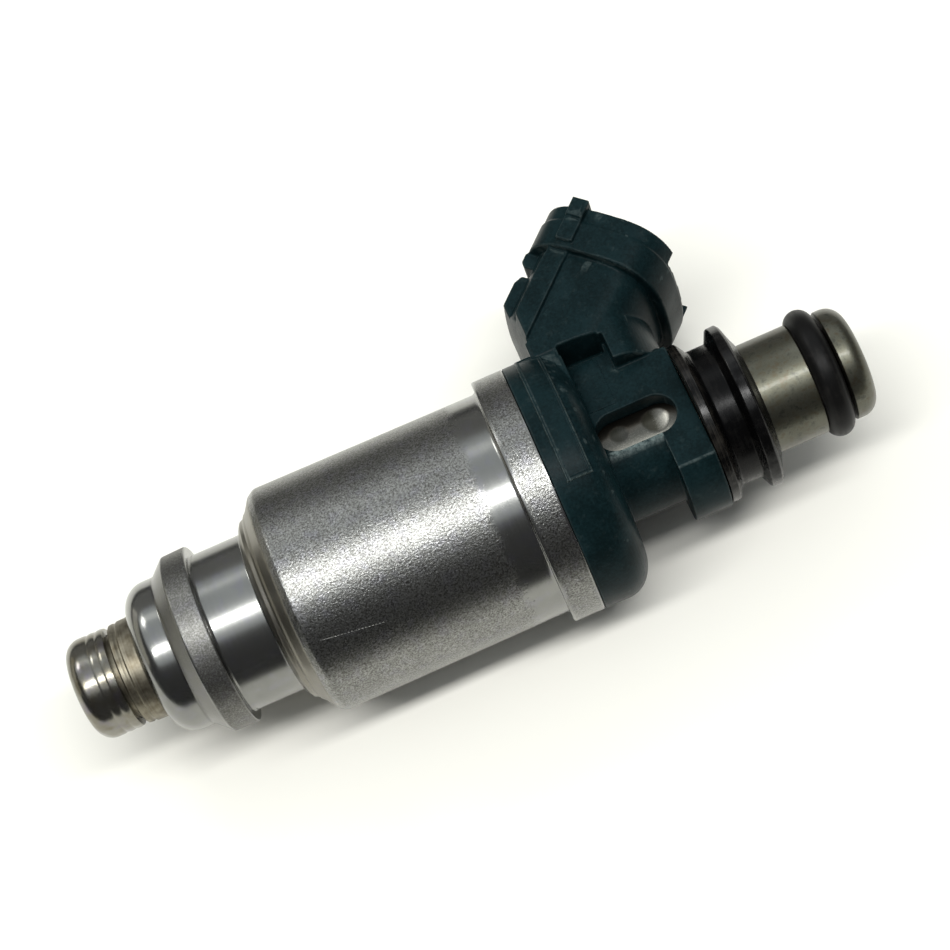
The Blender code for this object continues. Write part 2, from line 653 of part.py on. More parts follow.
def coil():
    low, top, flange = bobbin_z, bobbin_top_z, BOBBIN_FLANGE_THICKNESS
    seal_radius = CORE_RADIUS + COIL_SEAL_SECTION + FIT
    recess = seal_radius + COIL_SEAL_SECTION + FIT
    recess_z = top - 2 * COIL_SEAL_SECTION - FIT
    spool = [
        (recess, top),
        (BOBBIN_FLANGE_RADIUS, top),
        (BOBBIN_FLANGE_RADIUS, top - flange),
        (BOBBIN_TUBE_RADIUS, top - flange),
        (BOBBIN_TUBE_RADIUS, low + flange),
        (BOBBIN_FLANGE_RADIUS, low + flange),
        (BOBBIN_FLANGE_RADIUS, low),
        (BOBBIN_BORE_RADIUS, low),
        (BOBBIN_BORE_RADIUS, recess_z),
        (recess, recess_z),
    ]
    turned("coil_bobbin", spool, PALE_PLASTIC)
    upper_seal_z = recess_z + COIL_SEAL_SECTION + FIT / 2
    ring("coil_seal_upper", seal_radius, COIL_SEAL_SECTION, upper_seal_z, BLACK_RUBBER)
    lower_seal = (ARMATURE_RADIUS + ARMATURE_BORE_CLEARANCE + SEAL_RECESS_RADIUS) / 2
    lower_seal_z = chamber_z - SEAL_RECESS_DEPTH + COIL_SEAL_SECTION + SEAT
    ring("coil_seal_lower", lower_seal, COIL_SEAL_SECTION, lower_seal_z, BLACK_RUBBER)

    wound_low, wound_top = low + flange + SEAT, top - flange - SEAT
    inner = BOBBIN_TUBE_RADIUS + FIT
    winding = [(inner, wound_top)]
    pitch = (wound_top - wound_low) / WINDING_RIDGES
    for i in range(WINDING_RIDGES):
        winding.append((WINDING_RADIUS - WINDING_RIDGE_DEPTH, wound_top - i * pitch))
        winding.append((WINDING_RADIUS, wound_top - (i + 0.5) * pitch))
    winding += [(WINDING_RADIUS - WINDING_RIDGE_DEPTH, wound_low), (inner, wound_low)]
    turned("coil_winding", winding, COPPER)

    tape_radius = WINDING_RADIUS + FIT
    tape = [
        (tape_radius, wound_top),
        (tape_radius + TAPE_THICKNESS, wound_top),
        (tape_radius + TAPE_THICKNESS, wound_low),
        (tape_radius, wound_low),
    ]
    turned("coil_tape", tape, TAPE)

    plate_top = cover_z + COVER_PLATE_THICKNESS
    plate_radius = RIM_BORE_RADIUS - FIT
    disc = [
        (CORE_RADIUS + FIT, plate_top),
        (plate_radius, plate_top),
        (plate_radius, cover_z),
        (CORE_RADIUS + FIT, cover_z),
    ]
    plate = turned("cover_plate", disc, DARK_STEEL)
    leg = TERMINAL_WIDTH / 2 + LEAD_NOTCH_MARGIN
    side = TERMINAL_SPACING / 2 + TERMINAL_THICKNESS / 2 + LEAD_NOTCH_MARGIN
    notch = box(
        "lead_notch",
        (cover_z - OVERCUT, TERMINAL_LEG_RADIUS - leg, -side),
        (plate_top + OVERCUT, TERMINAL_LEG_RADIUS + leg, side),
        SIDE_FRAME,
    )
    combine(plate, notch, "DIFFERENCE")


def terminal_outline(margin, tail):
    """The bent blade seen from the side, as (height, radius) points, grown by margin and ending at tail."""
    half = TERMINAL_WIDTH / 2 + margin
    tip = MOUTH - OUT * (TERMINAL_BELOW_MOUTH - margin)
    shift = half * math.tan(ANGLE / 2)
    return [
        (tip.z + half * DOWN.z, tip.x + half * DOWN.x),
        (tip.z - half * DOWN.z, tip.x - half * DOWN.x),
        (bend_z - shift, TERMINAL_LEG_RADIUS + half),
        (tail, TERMINAL_LEG_RADIUS + half),
        (tail, TERMINAL_LEG_RADIUS - half),
        (bend_z + shift, TERMINAL_LEG_RADIUS - half),
    ]


def terminals():
    for name, side in (("terminal_left", 1), ("terminal_right", -1)):
        middle = side * TERMINAL_SPACING / 2
        half = TERMINAL_THICKNESS / 2
        outline = terminal_outline(0, bobbin_top_z + SEAT)
        extruded(name, outline, middle - half, middle + half, SIDE_FRAME, TIN)


def connector():
    hood = [(CORE_RADIUS + FIT, collar_top_z), (PLASTIC_COLLAR_RADIUS, collar_top_z)]
    hood += [(PLASTIC_COLLAR_RADIUS, collar_z), (PLASTIC_NECK_RADIUS, collar_z)]
    hood += [(PLASTIC_NECK_RADIUS, plastic_neck_z)]
    deep, long = HOOD_CORNER_DEPTH, HOOD_CORNER_LENGTH
    hood += arc(RIM_RADIUS - deep, plastic_neck_z - long, deep, long, 90, 0, 6)
    hood += [(RIM_RADIUS, hood_z + SEAT), (RIM_BORE_RADIUS - FIT, hood_z + SEAT)]
    hood += [(RIM_BORE_RADIUS - FIT, plug_z), (CORE_RADIUS + FIT, plug_z)]
    body = turned("connector_housing", hood, GREEN_PLASTIC)

    heel_z = collar_top_z - HEEL_LENGTH
    block_top = THROAT_UNDERSIDE + BLOCK_INTO_THROAT
    block = extruded(
        "neck_block",
        [
            (back_wall_z + FIT, -WINDOW_RADIUS / 2),
            (back_wall_z + FIT, block_top),
            (heel_z + 2 * FIT, block_top),
            (heel_z + 2 * FIT, NECK_BLOCK_TOP + FIT),
            (collar_top_z - 2 * FIT, NECK_BLOCK_TOP + FIT),
            (collar_top_z - 2 * FIT, -WINDOW_RADIUS / 2),
        ],
        -NECK_BLOCK_HALF_WIDTH,
        NECK_BLOCK_HALF_WIDTH,
        SIDE_FRAME,
    )
    channel = CORE_RADIUS + 2 * FIT
    channel_top, channel_low = collar_top_z + OVERCUT, plug_z - OVERCUT
    core_way = turned("core_way", [(0, channel_top), (channel, channel_top), (channel, channel_low), (0, channel_low)])
    combine(block, core_way, "DIFFERENCE")
    combine(body, block, "UNION")
    cheek_half_width = SHROUD_HALF_WIDTH - THROAT_STEP - FIT
    cheeks = box(
        "cheeks",
        (back_wall_z + 2 * FIT, CORE_RADIUS + CHEEK_INNER_MARGIN, -cheek_half_width),
        (plastic_neck_z, block_top - FIT, cheek_half_width),
        SIDE_FRAME,
    )
    combine(body, cheeks, "UNION")
    reach = PLASTIC_COLLAR_RADIUS + OVERCUT
    for name, side in (("flat_left", 1), ("flat_right", -1)):
        near, far = sorted((side * FLAT_HALF_WIDTH, side * (RIM_RADIUS + OVERCUT)))
        flat = box(
            name,
            (plastic_neck_z + FIT, -reach, near),
            (collar_top_z + OVERCUT, block_top + OVERCUT, far),
            SIDE_FRAME,
        )
        combine(body, flat, "DIFFERENCE")

    throat_width, throat_depth = SHROUD_HALF_WIDTH - THROAT_STEP, SHROUD_HALF_DEPTH - THROAT_STEP
    throat_reach = CONNECTOR_REACH + SHROUD_HALF_DEPTH
    throat_outline = oval(throat_width, throat_depth)
    throat = extruded("throat", throat_outline, -throat_reach, -SHROUD_LENGTH / 2, CONNECTOR_FRAME)
    heel_outline = arc(0, 0, HEEL_HALF_WIDTH, HEEL_LENGTH - FIT, 0, 348.75, 32)
    heel_frame = frame_of((0, 1, 0), (0, 0, 1), (1, 0, 0), (0, 0, heel_z))
    heel = extruded("heel", heel_outline, NECK_BLOCK_TOP - OVERCUT, HEEL_TOP, heel_frame)
    combine(throat, heel, "UNION")
    pad = box(
        "back_pad",
        (-BACK_PAD_HALF_WIDTH, -throat_depth - BACK_PAD_PROUD, OVERCUT - throat_reach),
        (BACK_PAD_HALF_WIDTH, -throat_depth / 2, -BACK_PAD_TOP),
        CONNECTOR_FRAME,
    )
    combine(throat, pad, "UNION")
    for name, side in (("left", 1), ("right", -1)):
        near, far = sorted((side * (throat_width - 2 * THROAT_STEP), side * (throat_width + GUIDE_PROUD)))
        guide = box(
            f"guide_{name}",
            (near, GUIDE_CENTRE - GUIDE_WIDTH / 2, 2 * OVERCUT - throat_reach),
            (far, GUIDE_CENTRE + GUIDE_WIDTH / 2, -SHROUD_LENGTH + OVERCUT),
            CONNECTOR_FRAME,
        )
        combine(throat, guide, "UNION")
    far_z = MOUTH.z + SHROUD_HALF_DEPTH
    envelope = extruded(
        "throat_envelope",
        [
            (back_wall_z, THROAT_UNDERSIDE),
            (heel_z, THROAT_UNDERSIDE),
            (heel_z, NECK_BLOCK_TOP),
            (far_z, NECK_BLOCK_TOP),
            (far_z, 2 * MOUTH.x),
            (back_wall_z, 2 * MOUTH.x),
        ],
        -2 * SHROUD_HALF_WIDTH,
        2 * SHROUD_HALF_WIDTH,
        SIDE_FRAME,
    )
    combine(throat, envelope, "INTERSECT")
    combine(body, throat, "UNION")

    shroud_outline = oval(SHROUD_HALF_WIDTH, SHROUD_HALF_DEPTH)
    shroud = extruded("shroud", shroud_outline, -SHROUD_LENGTH, 0, CONNECTOR_FRAME)
    combine(body, shroud, "UNION")
    bar = box(
        "back_bar",
        (-BACK_BAR_HALF_WIDTH, 4 * FIT - SHROUD_HALF_DEPTH, -SHROUD_LENGTH - BACK_BAR_LENGTH),
        (BACK_BAR_HALF_WIDTH, -throat_depth / 2, -SHROUD_LENGTH + 4 * FIT),
        CONNECTOR_FRAME,
    )
    combine(body, bar, "UNION")
    for name, side in (("left", 1), ("right", -1)):
        near, far = sorted((side * (SHROUD_HALF_WIDTH - THROAT_STEP), side * (SHROUD_HALF_WIDTH + KEY_PROUD)))
        key = box(
            f"key_{name}",
            (near, KEY_CENTRE - KEY_WIDTH / 2, -SHROUD_LENGTH + FIT),
            (far, KEY_CENTRE + KEY_WIDTH / 2, KEY_PAST_RIM),
            CONNECTOR_FRAME,
        )
        combine(body, key, "UNION")

    socket_width, socket_depth = SHROUD_HALF_WIDTH - SOCKET_WALL, SHROUD_HALF_DEPTH - SOCKET_WALL
    socket = extruded("socket", oval(socket_width, socket_depth), -SOCKET_DEPTH, OVERCUT, CONNECTOR_FRAME)
    combine(body, socket, "DIFFERENCE")
    notch = box(
        "lip_notch",
        (-LIP_NOTCH_HALF_WIDTH, socket_depth - OVERCUT, -LIP_NOTCH_DEPTH),
        (LIP_NOTCH_HALF_WIDTH, SHROUD_HALF_DEPTH + OVERCUT, OVERCUT),
        CONNECTOR_FRAME,
    )
    combine(body, notch, "DIFFERENCE")

    window_mid = plastic_neck_z + WINDOW_ABOVE_HOOD
    straight = WINDOW_LENGTH / 2 - WINDOW_RADIUS
    obround = []
    for centre, start in ((straight, -90), (-straight, 90)):
        obround += arc(window_mid + centre, 0, WINDOW_RADIUS, WINDOW_RADIUS, start, start + 180, 9)
    for name, side in (("left", 1), ("right", -1)):
        near, far = sorted((side * (CORE_RADIUS - WINDOW_RADIUS / 2), side * (RIM_RADIUS + OVERCUT)))
        window = extruded(f"window_{name}", obround, near, far, SIDE_FRAME)
        combine(body, window, "DIFFERENCE")
        near, far = sorted((side * POCKET_INNER, side * (RIM_RADIUS + OVERCUT)))
        pocket = box(
            f"pocket_{name}",
            (plastic_neck_z + FIT, THROAT_UNDERSIDE - POCKET_HEIGHT, near),
            (plastic_neck_z + FIT + POCKET_LENGTH, THROAT_UNDERSIDE + 2 * FIT, far),
            SIDE_FRAME,
        )
        combine(body, pocket, "DIFFERENCE")

        middle = side * TERMINAL_SPACING / 2
        half = TERMINAL_THICKNESS / 2 + TERMINAL_CLEARANCE
        outline = terminal_outline(TERMINAL_CLEARANCE, plug_z - OVERCUT)
        lead = extruded(f"lead_way_{name}", outline, middle - half, middle + half, SIDE_FRAME)
        combine(body, lead, "DIFFERENCE")


nozzle_pieces()
housing()
moving_core()
return_spring()
fuel_core()
grommet()
inlet_filter()
coil()
terminals()
connector()
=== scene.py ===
import json
import math

import bmesh
import bpy
from mathutils import Euler, Matrix, Vector


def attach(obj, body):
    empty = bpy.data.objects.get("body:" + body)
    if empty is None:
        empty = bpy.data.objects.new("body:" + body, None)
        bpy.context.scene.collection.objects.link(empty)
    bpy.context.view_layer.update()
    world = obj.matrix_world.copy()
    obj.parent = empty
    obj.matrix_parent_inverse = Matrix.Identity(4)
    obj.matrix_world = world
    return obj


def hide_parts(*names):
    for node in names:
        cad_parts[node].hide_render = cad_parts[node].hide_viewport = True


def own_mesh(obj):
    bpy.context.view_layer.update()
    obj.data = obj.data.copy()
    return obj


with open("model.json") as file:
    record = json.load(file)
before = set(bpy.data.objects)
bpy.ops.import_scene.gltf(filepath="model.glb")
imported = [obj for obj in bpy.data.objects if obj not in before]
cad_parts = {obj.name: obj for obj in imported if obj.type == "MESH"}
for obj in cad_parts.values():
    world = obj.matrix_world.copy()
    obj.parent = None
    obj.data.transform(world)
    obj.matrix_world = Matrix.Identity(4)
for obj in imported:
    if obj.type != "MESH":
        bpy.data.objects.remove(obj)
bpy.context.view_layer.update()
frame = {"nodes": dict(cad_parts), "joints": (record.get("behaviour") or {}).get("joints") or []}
mm = 0.001
carrier = "injector_body"
print("frame loaded:", len(frame["nodes"]), "nodes")


# Meshes. Sizes are in millimetres: x runs along the injector from the tip,
# r is the distance from its axis.

def onCircle(x, r, turn):
    return (x * mm, r * math.sin(turn) * mm, r * math.cos(turn) * mm)


def roundCorners(corners, steps=6):
    line = []
    for i, (x, r, fillet) in enumerate(corners):
        here = Vector((x, r))
        before = Vector(corners[i - 1][:2]) - here
        after = Vector(corners[(i + 1) % len(corners)][:2]) - here
        if fillet <= 0:
            line.append((x, r))
            continue
        half = before.angle(after) / 2
        shareBefore = fillet / (fillet + corners[i - 1][2] + 0.01)
        shareAfter = fillet / (fillet + corners[(i + 1) % len(corners)][2] + 0.01)
        reach = min(fillet / math.tan(half), shareBefore * before.length, shareAfter * after.length)
        inward = (before.normalized() + after.normalized()).normalized()
        middle = here + inward * (reach / math.cos(half))
        radius = reach * math.tan(half)
        first = here + before.normalized() * reach - middle
        last = here + after.normalized() * reach - middle
        start = math.atan2(first.y, first.x)
        sweep = (math.atan2(last.y, last.x) - start + math.pi) % (2 * math.pi) - math.pi
        count = max(steps, round(radius * abs(sweep) / 0.2))
        for k in range(count + 1):
            turn = start + sweep * k / count
            line.append((middle.x + radius * math.cos(turn), middle.y + radius * math.sin(turn)))
    return line


def guarded(line, near=0.12):
    full = []
    for i, (x, r) in enumerate(line):
        full.append((x, r))
        farX, farR = line[(i + 1) % len(line)]
        gap = math.dist((x, r), (farX, farR))
        if gap > 5 * near and max(r, farR) > 0:
            for share in (near / gap, 1 - near / gap):
                full.append((x + (farX - x) * share, r + (farR - r) * share))
    return full


def spin(line, segments=192, wobble=None):
    grid = bmesh.new()
    rings = []
    for x, r in guarded(line):
        if r < 1e-6:
            rings.append([grid.verts.new((x * mm, 0, 0))])
            continue
        ring = []
        for k in range(segments):
            turn = 2 * math.pi * k / segments
            grown = r + (wobble(x, r, turn) if wobble else 0)
            ring.append(grid.verts.new(onCircle(x, grown, turn)))
        rings.append(ring)
    for i, ring in enumerate(rings):
        after = rings[(i + 1) % len(rings)]
        for k in range(segments):
            ends = [ring[k % len(ring)], ring[(k + 1) % len(ring)]]
            ends += [after[(k + 1) % len(after)], after[k % len(after)]]
            corners = list(dict.fromkeys(ends))
            if len(corners) > 2:
                grid.faces.new(corners)
    bmesh.ops.recalc_face_normals(grid, faces=grid.faces)
    return grid


def prism(outline, low, high, place, edge=0):
    grid = bmesh.new()
    corners = [grid.verts.new((u * mm, v * mm, low * mm)) for u, v in outline]
    grown = bmesh.ops.extrude_face_region(grid, geom=[grid.faces.new(corners)])
    moved = [item for item in grown["geom"] if isinstance(item, bmesh.types.BMVert)]
    bmesh.ops.translate(grid, verts=moved, vec=(0, 0, (high - low) * mm))
    bmesh.ops.recalc_face_normals(grid, faces=grid.faces)
    if edge:
        sharp = [line for line in grid.edges if line.calc_face_angle() > math.radians(30)]
        bmesh.ops.bevel(grid, geom=sharp, offset=edge * mm, segments=3, profile=0.5, affect="EDGES")
    bmesh.ops.transform(grid, matrix=place, verts=grid.verts)
    bmesh.ops.recalc_face_normals(grid, faces=grid.faces)
    return grid


def slab(low, high, place, edge=0):
    outline = [(low[0], low[1]), (high[0], low[1]), (high[0], high[1]), (low[0], high[1])]
    return prism(outline, low[2], high[2], place, edge)


def asMesh(name, grid):
    mesh = bpy.data.meshes.new(name)
    grid.to_mesh(mesh)
    grid.free()
    return mesh


def asGrid(mesh):
    grid = bmesh.new()
    grid.from_mesh(mesh)
    return grid


def evaluated(obj):
    graph = bpy.context.evaluated_depsgraph_get()
    return bpy.data.meshes.new_from_object(obj.evaluated_get(graph), depsgraph=graph)


def carve(name, base, steps, voxel=0, smooth=0, keep=1.0):
    body = bpy.data.objects.new(name + ".rough", asMesh(name + ".rough", base))
    bpy.context.scene.collection.objects.link(body)
    helpers = [body]
    for i, (operation, grid) in enumerate(steps):
        helper = bpy.data.objects.new(f"{name}.{i}", asMesh(f"{name}.{i}", grid))
        bpy.context.scene.collection.objects.link(helper)
        helpers.append(helper)
        boolean = body.modifiers.new(helper.name, "BOOLEAN")
        boolean.operation = operation
        boolean.solver = "EXACT"
        boolean.object = helper
    if voxel:
        remesh = body.modifiers.new("remesh", "REMESH")
        remesh.mode = "VOXEL"
        remesh.voxel_size = voxel * mm
        remesh.use_smooth_shade = True
        soften = body.modifiers.new("soften", "SMOOTH")
        soften.factor = 0.5
        soften.iterations = smooth
        thin = body.modifiers.new("thin", "DECIMATE")
        thin.ratio = keep
    bpy.context.view_layer.update()
    mesh = evaluated(body)
    mesh.name = name
    for helper in helpers:
        bpy.data.objects.remove(helper, do_unlink=True)
    return mesh


def addPiece(name, mesh, finish, nodes=(), sharp=32):
    made = bpy.data.objects.new(name, mesh)
    bpy.context.scene.collection.objects.link(made)
    mesh.shade_smooth()
    if sharp:
        mesh.set_sharp_from_angle(angle=math.radians(sharp))
    mesh.materials.clear()
    mesh.materials.append(finish)
    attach(made, carrier)
    if nodes:
        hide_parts(*nodes)
    print(f"{name}: {len(mesh.polygons)} faces")
    return made


# Steel tube and core of the inlet end, with two round dents that show in the side windows.
# The tube's finish needs them too, so they stand before the materials.

tube = {"radius": 5.77, "end": 84.35, "corner": 1.85, "core": 4.2, "finest": 0.12}
# Each dent's colours are painted shade (dark, towards the tip) and painted highlight (lit, towards the
# inlet end).
dents = (
    {
        "x": 63.15,
        "turn": 5.5,
        "radius": 1.45,
        "depth": 0.3,
        "dark": (0.062, 0.06, 0.044),
        "lit": (0.5, 0.49, 0.44),
    },
    {
        "x": 59.3,
        "turn": 6.5,
        "radius": 1.05,
        "depth": 0.18,
        "dark": (0.05, 0.05, 0.039),
        "lit": (0.1, 0.1, 0.09),
    },
)

# Materials. A Wire wraps a socket, so that sums on it add Math nodes.

class Wire:
    def __init__(self, tree, socket):
        self.tree = tree
        self.socket = socket

    def maths(self, operation, *values):
        node = self.tree.nodes.new("ShaderNodeMath")
        node.operation = operation
        for slot, value in zip(node.inputs, values):
            if isinstance(value, Wire):
                self.tree.links.new(value.socket, slot)
            else:
                slot.default_value = value
        return Wire(self.tree, node.outputs[0])

    def __add__(self, other):
        return self.maths("ADD", self, other)

    def __radd__(self, other):
        return self.maths("ADD", other, self)

    def __sub__(self, other):
        return self.maths("SUBTRACT", self, other)

    def __rsub__(self, other):
        return self.maths("SUBTRACT", other, self)

    def __mul__(self, other):
        return self.maths("MULTIPLY", self, other)

    def __rmul__(self, other):
        return self.maths("MULTIPLY", other, self)

    def __truediv__(self, other):
        return self.maths("DIVIDE", self, other)


class Finish:
    def __init__(self, name, **constants):
        self.material = bpy.data.materials.new(name)
        self.material.use_nodes = True
        self.tree = self.material.node_tree
        self.shader = self.tree.nodes["Principled BSDF"]
        for socket, value in constants.items():
            self.shader.inputs[socket.replace("_", " ")].default_value = value
        place = self.tree.nodes.new("ShaderNodeTexCoord")
        self.place = Wire(self.tree, place.outputs["Object"])
        parts = self.node("ShaderNodeSeparateXYZ", {}, {"Vector": self.place}).socket.node
        self.x, self.y, self.z = (Wire(self.tree, socket) for socket in parts.outputs)
        self.along = self.x / mm

    def node(self, kind, settings, inputs, output=0):
        node = self.tree.nodes.new(kind)
        for name, value in settings.items():
            setattr(node, name, value)
        for name, value in inputs.items():
            if isinstance(value, Wire):
                self.tree.links.new(value.socket, node.inputs[name])
            else:
                node.inputs[name].default_value = value
        return Wire(self.tree, node.outputs[output])

    def noise(self, size, detail=2.0, place=None, rough=0.5):
        inputs = {"Vector": place or self.place, "Scale": 1 / (size * mm)}
        inputs.update({"Detail": detail, "Roughness": rough})
        return self.node("ShaderNodeTexNoise", {}, inputs)

    def ringed(self, pitch):
        flat = self.node("ShaderNodeCombineXYZ", {}, {"X": self.x})
        return self.noise(pitch, 3.0, flat)

    def waves(self, direction, scale):
        inputs = {"Vector": self.place, "Scale": scale}
        return self.node("ShaderNodeTexWave", {"bands_direction": direction}, inputs)

    def step(self, value, low, high):
        inputs = {"Value": value, "From Min": low, "From Max": high}
        return self.node("ShaderNodeMapRange", {"clamp": True}, inputs)

    def between(self, low, high, soft=0.1, value=None):
        value = value or self.along
        return self.step(value, low - soft, low + soft) * self.step(value, high + soft, high - soft)

    def mix(self, factor, first, second):
        inputs = {0: factor, 6: self.colour(first), 7: self.colour(second)}
        settings = {"data_type": "RGBA"}
        return self.node("ShaderNodeMix", settings, inputs, 2)

    def colour(self, value):
        return value if isinstance(value, Wire) else (*value, 1.0)

    def feed(self, **inputs):
        for name, value in inputs.items():
            self.tree.links.new(value.socket, self.shader.inputs[name.replace("_", " ")])
        return self

    def bump(self, height, depth):
        inputs = {"Height": height, "Distance": depth * mm, "Strength": 1.0}
        return self.feed(Normal=self.node("ShaderNodeBump", {}, inputs))


def blastedSteel():
    look = {
        "pale": (0.278, 0.28, 0.267),
        "dull": (0.204, 0.206, 0.196),
        "stain": (0.06, 0.056, 0.048),
        "spark": (0.62, 0.62, 0.6),
        "cool": (0.25, 0.245, 0.285),
        "scratch": (0.75, 0.75, 0.72),
        "zones": {
            "lip": (7.0, 11.0),
            "cone": (11.0, 12.6),
            "flange": (12.75, 15.2),
            "shoulder": (20.85, 23.2),
            "band": (45.4, 47.9),
            "rim": (48.25, 51.1),
        },
        "body": (23.3, 44.6),
        "marks": (42.6, 45.2),
        "rough": {
            "lip": 0.2,
            "cone": 0.24,
            "flange": 0.45,
            "shoulder": 0.34,
            "band": 0.22,
            "rim": 0.3,
            "body": 0.3,
        },
        "warm": (0.2, 0.18, 0.138),
        "roughTurned": 0.23,
        "depth": 0.035,
    }
    made = Finish("blastedSteel", Metallic=1.0)
    drift = (made.noise(1.8, 4.0, None, 0.6) - 0.5) * 2.0
    zones = {name: made.between(*ends, 0.1) for name, ends in look["zones"].items()}
    zones["body"] = made.between(*look["body"], 0.45, made.along + drift)
    blasted = zones["body"] + zones["rim"] + zones["flange"] * 0.7
    fine = made.noise(0.11, 2.0, None, 0.6)
    coarse = made.noise(0.23, 2.0, None, 0.6)
    lines = made.ringed(0.3)
    blots = made.noise(7.0, 4.0, None, 0.6)
    specks = made.step(made.noise(0.42, 1.0), 0.66, 0.72)
    marked = made.between(*look["marks"], 0.6) * made.step(blots, 0.4, 0.55)
    specks = specks * (marked + zones["rim"] * 0.5)
    grit = made.noise(0.19, 3.0, None, 0.75)
    paint = made.mix(made.step(blots, 0.32, 0.72), look["pale"], look["dull"])
    paint = made.mix(made.step(made.noise(1.3, 3.0), 0.5, 0.68) * 0.4, paint, look["cool"])
    paint = made.mix((zones["flange"] + zones["cone"]) * 0.42, paint, look["stain"])
    paint = made.mix(zones["shoulder"] * 0.6, paint, look["warm"])
    paint = made.mix(blasted * made.step(grit, 0.53, 0.38) * 0.78, paint, look["stain"])
    paint = made.mix(blasted * made.step(grit, 0.54, 0.68) * 0.33, paint, look["spark"])
    paint = made.mix(specks * 0.85, paint, look["stain"])
    scratch = scratchLine(made)
    gloss = (lines - 0.5) * 0.08 + (blots - 0.5) * 0.08 + specks * 0.2 + look["roughTurned"]
    for name, zone in zones.items():
        gloss = gloss + zone * (look["rough"][name] - look["roughTurned"])
    height = (zones["body"] + zones["flange"] * 0.5) * (fine * 0.6 + coarse * 0.8)
    height = height + zones["rim"] * (fine * 0.6 + coarse * 1.2) + (1 - blasted) * lines * 0.06
    made.feed(Base_Color=made.mix(scratch, paint, look["scratch"]), Roughness=gloss)
    made.bump(height - specks * 0.2 - scratch * 0.4, look["depth"])
    return made.material


def scratchLine(made):
    mark = {
        "low": 25.0,
        "high": 31.4,
        "dots": 27.4,
        "pitch": 0.34,
        "turn": -0.86,
        "twist": -0.0126,
        "width": 0.0045,
    }
    turn = made.y.maths("ARCTAN2", made.y, made.z)
    line = turn - (made.along - mark["low"]) * mark["twist"] - mark["turn"]
    thin = made.step(line.maths("ABSOLUTE", line), mark["width"], mark["width"] / 3)
    dotted = made.step(made.x.maths("FRACT", made.along / mark["pitch"]), 0.35, 0.5)
    solid = made.step(made.along, mark["dots"], mark["dots"] - 1.5)
    drawn = solid.maths("MAXIMUM", solid, dotted)
    return thin * drawn * made.between(mark["low"], mark["high"], 0.2) * 0.85


def capSteel():
    look = {
        "pale": (0.235, 0.228, 0.2),
        "warm": (0.165, 0.15, 0.113),
        "violet": (0.2, 0.18, 0.235),
        "rough": 0.17,
    }
    made = Finish("capSteel", Metallic=1.0)
    blots = made.noise(1.5, 4.0)
    tints = made.noise(2.3, 2.0)
    scuffs = made.noise(0.25, 2.0)
    lines = made.ringed(0.2)
    paint = made.mix(made.step(blots, 0.42, 0.68), look["pale"], look["warm"])
    paint = made.mix(made.step(tints, 0.55, 0.7) * 0.6, paint, look["violet"])
    gloss = look["rough"] + blots * 0.1 + (scuffs - 0.5) * 0.1
    made.feed(Base_Color=paint, Roughness=gloss)
    made.bump(lines * 0.3 + scuffs * 0.8, 0.006)
    return made.material


def temperedSteel():
    look = {
        "brown": (0.108, 0.092, 0.063),
        "pale": (0.245, 0.225, 0.174),
        "rough": 0.42,
    }
    made = Finish("temperedSteel", Metallic=1.0)
    lines = made.ringed(0.22)
    blots = made.noise(1.1, 4.0)
    paint = made.mix(made.step(blots * 0.7 + lines * 0.3, 0.36, 0.6), look["brown"], look["pale"])
    made.feed(Base_Color=paint, Roughness=look["rough"] + (lines - 0.5) * 0.2)
    made.bump(lines, 0.005)
    return made.material


def tubeSteel():
    look = {
        "pale": (0.116, 0.116, 0.091),
        "olive": (0.078, 0.076, 0.054),
        "core": (0.078, 0.078, 0.068),
        "coreLow": (0.2, 0.197, 0.18),
        "brown": (0.085, 0.075, 0.06),
        "rust": (0.085, 0.068, 0.043),
        "soot": (0.03, 0.031, 0.026),
        "coreEnd": 67.0,
        "collar": 81.5,
        "shade": (-0.2, 1.0),
        "rough": 0.4,
    }
    made = Finish("tubeSteel", Metallic=1.0, Coat_Weight=0.3, Coat_Roughness=0.16)
    lines = made.ringed(0.16)
    blots = made.noise(3.2, 4.0, None, 0.6)
    grain = made.noise(0.12, 2.0)
    inside = made.step(made.along, look["coreEnd"] + 0.1, look["coreEnd"] - 0.1)
    # Painted shade: the core is painted brown above its middle, where the window's upper wall shades it.
    paintedShadeAbove = made.step(made.y / mm + (blots - 0.5) * 0.8, *look["shade"])
    paint = made.mix(made.step(blots * 0.8 + grain * 0.2, 0.36, 0.68), look["pale"], look["olive"])
    mottle = made.noise(0.8, 5.0, None, 0.65)
    paint = made.mix(made.step(mottle, 0.52, 0.66) * 0.7, paint, look["rust"])
    paint = made.mix(made.step(mottle, 0.46, 0.34) * 0.55, paint, look["soot"])
    # Painted light: the core is painted lighter towards -Y, from y = -1.2 mm down.
    core = made.mix(made.step(made.y / mm + (grain - 0.5) * 0.9, -1.2, -2.0), look["core"], look["coreLow"])
    core = made.mix(made.step(grain, 0.5, 0.7) * 0.35, core, look["coreLow"])
    core = made.mix(paintedShadeAbove, core, look["brown"])
    for dent in dents:
        across = made.along - dent["x"]
        up = made.y / mm - tube["core"] * math.sin(math.radians(dent["turn"]))
        away = across.maths("SQRT", across * across + up * up)
        # Painted shade and highlight: each dent is painted dark on its tip side and lit on its inlet side.
        bowl = made.mix(made.step(across + (grain - 0.5), -0.2, 1.1), dent["dark"], dent["lit"])
        core = made.mix(made.step(away, dent["radius"], dent["radius"] - 0.3), core, bowl)
    paint = made.mix(inside, paint, core)
    gloss = look["rough"] + (blots - 0.5) * 0.16 + (lines - 0.5) * 0.1
    gloss = gloss + made.step(made.along, look["collar"], look["collar"] + 0.5) * 0.02
    made.feed(Base_Color=paint, Roughness=gloss)
    made.bump(lines * 0.6 + grain * 0.5, 0.005)
    return made.material


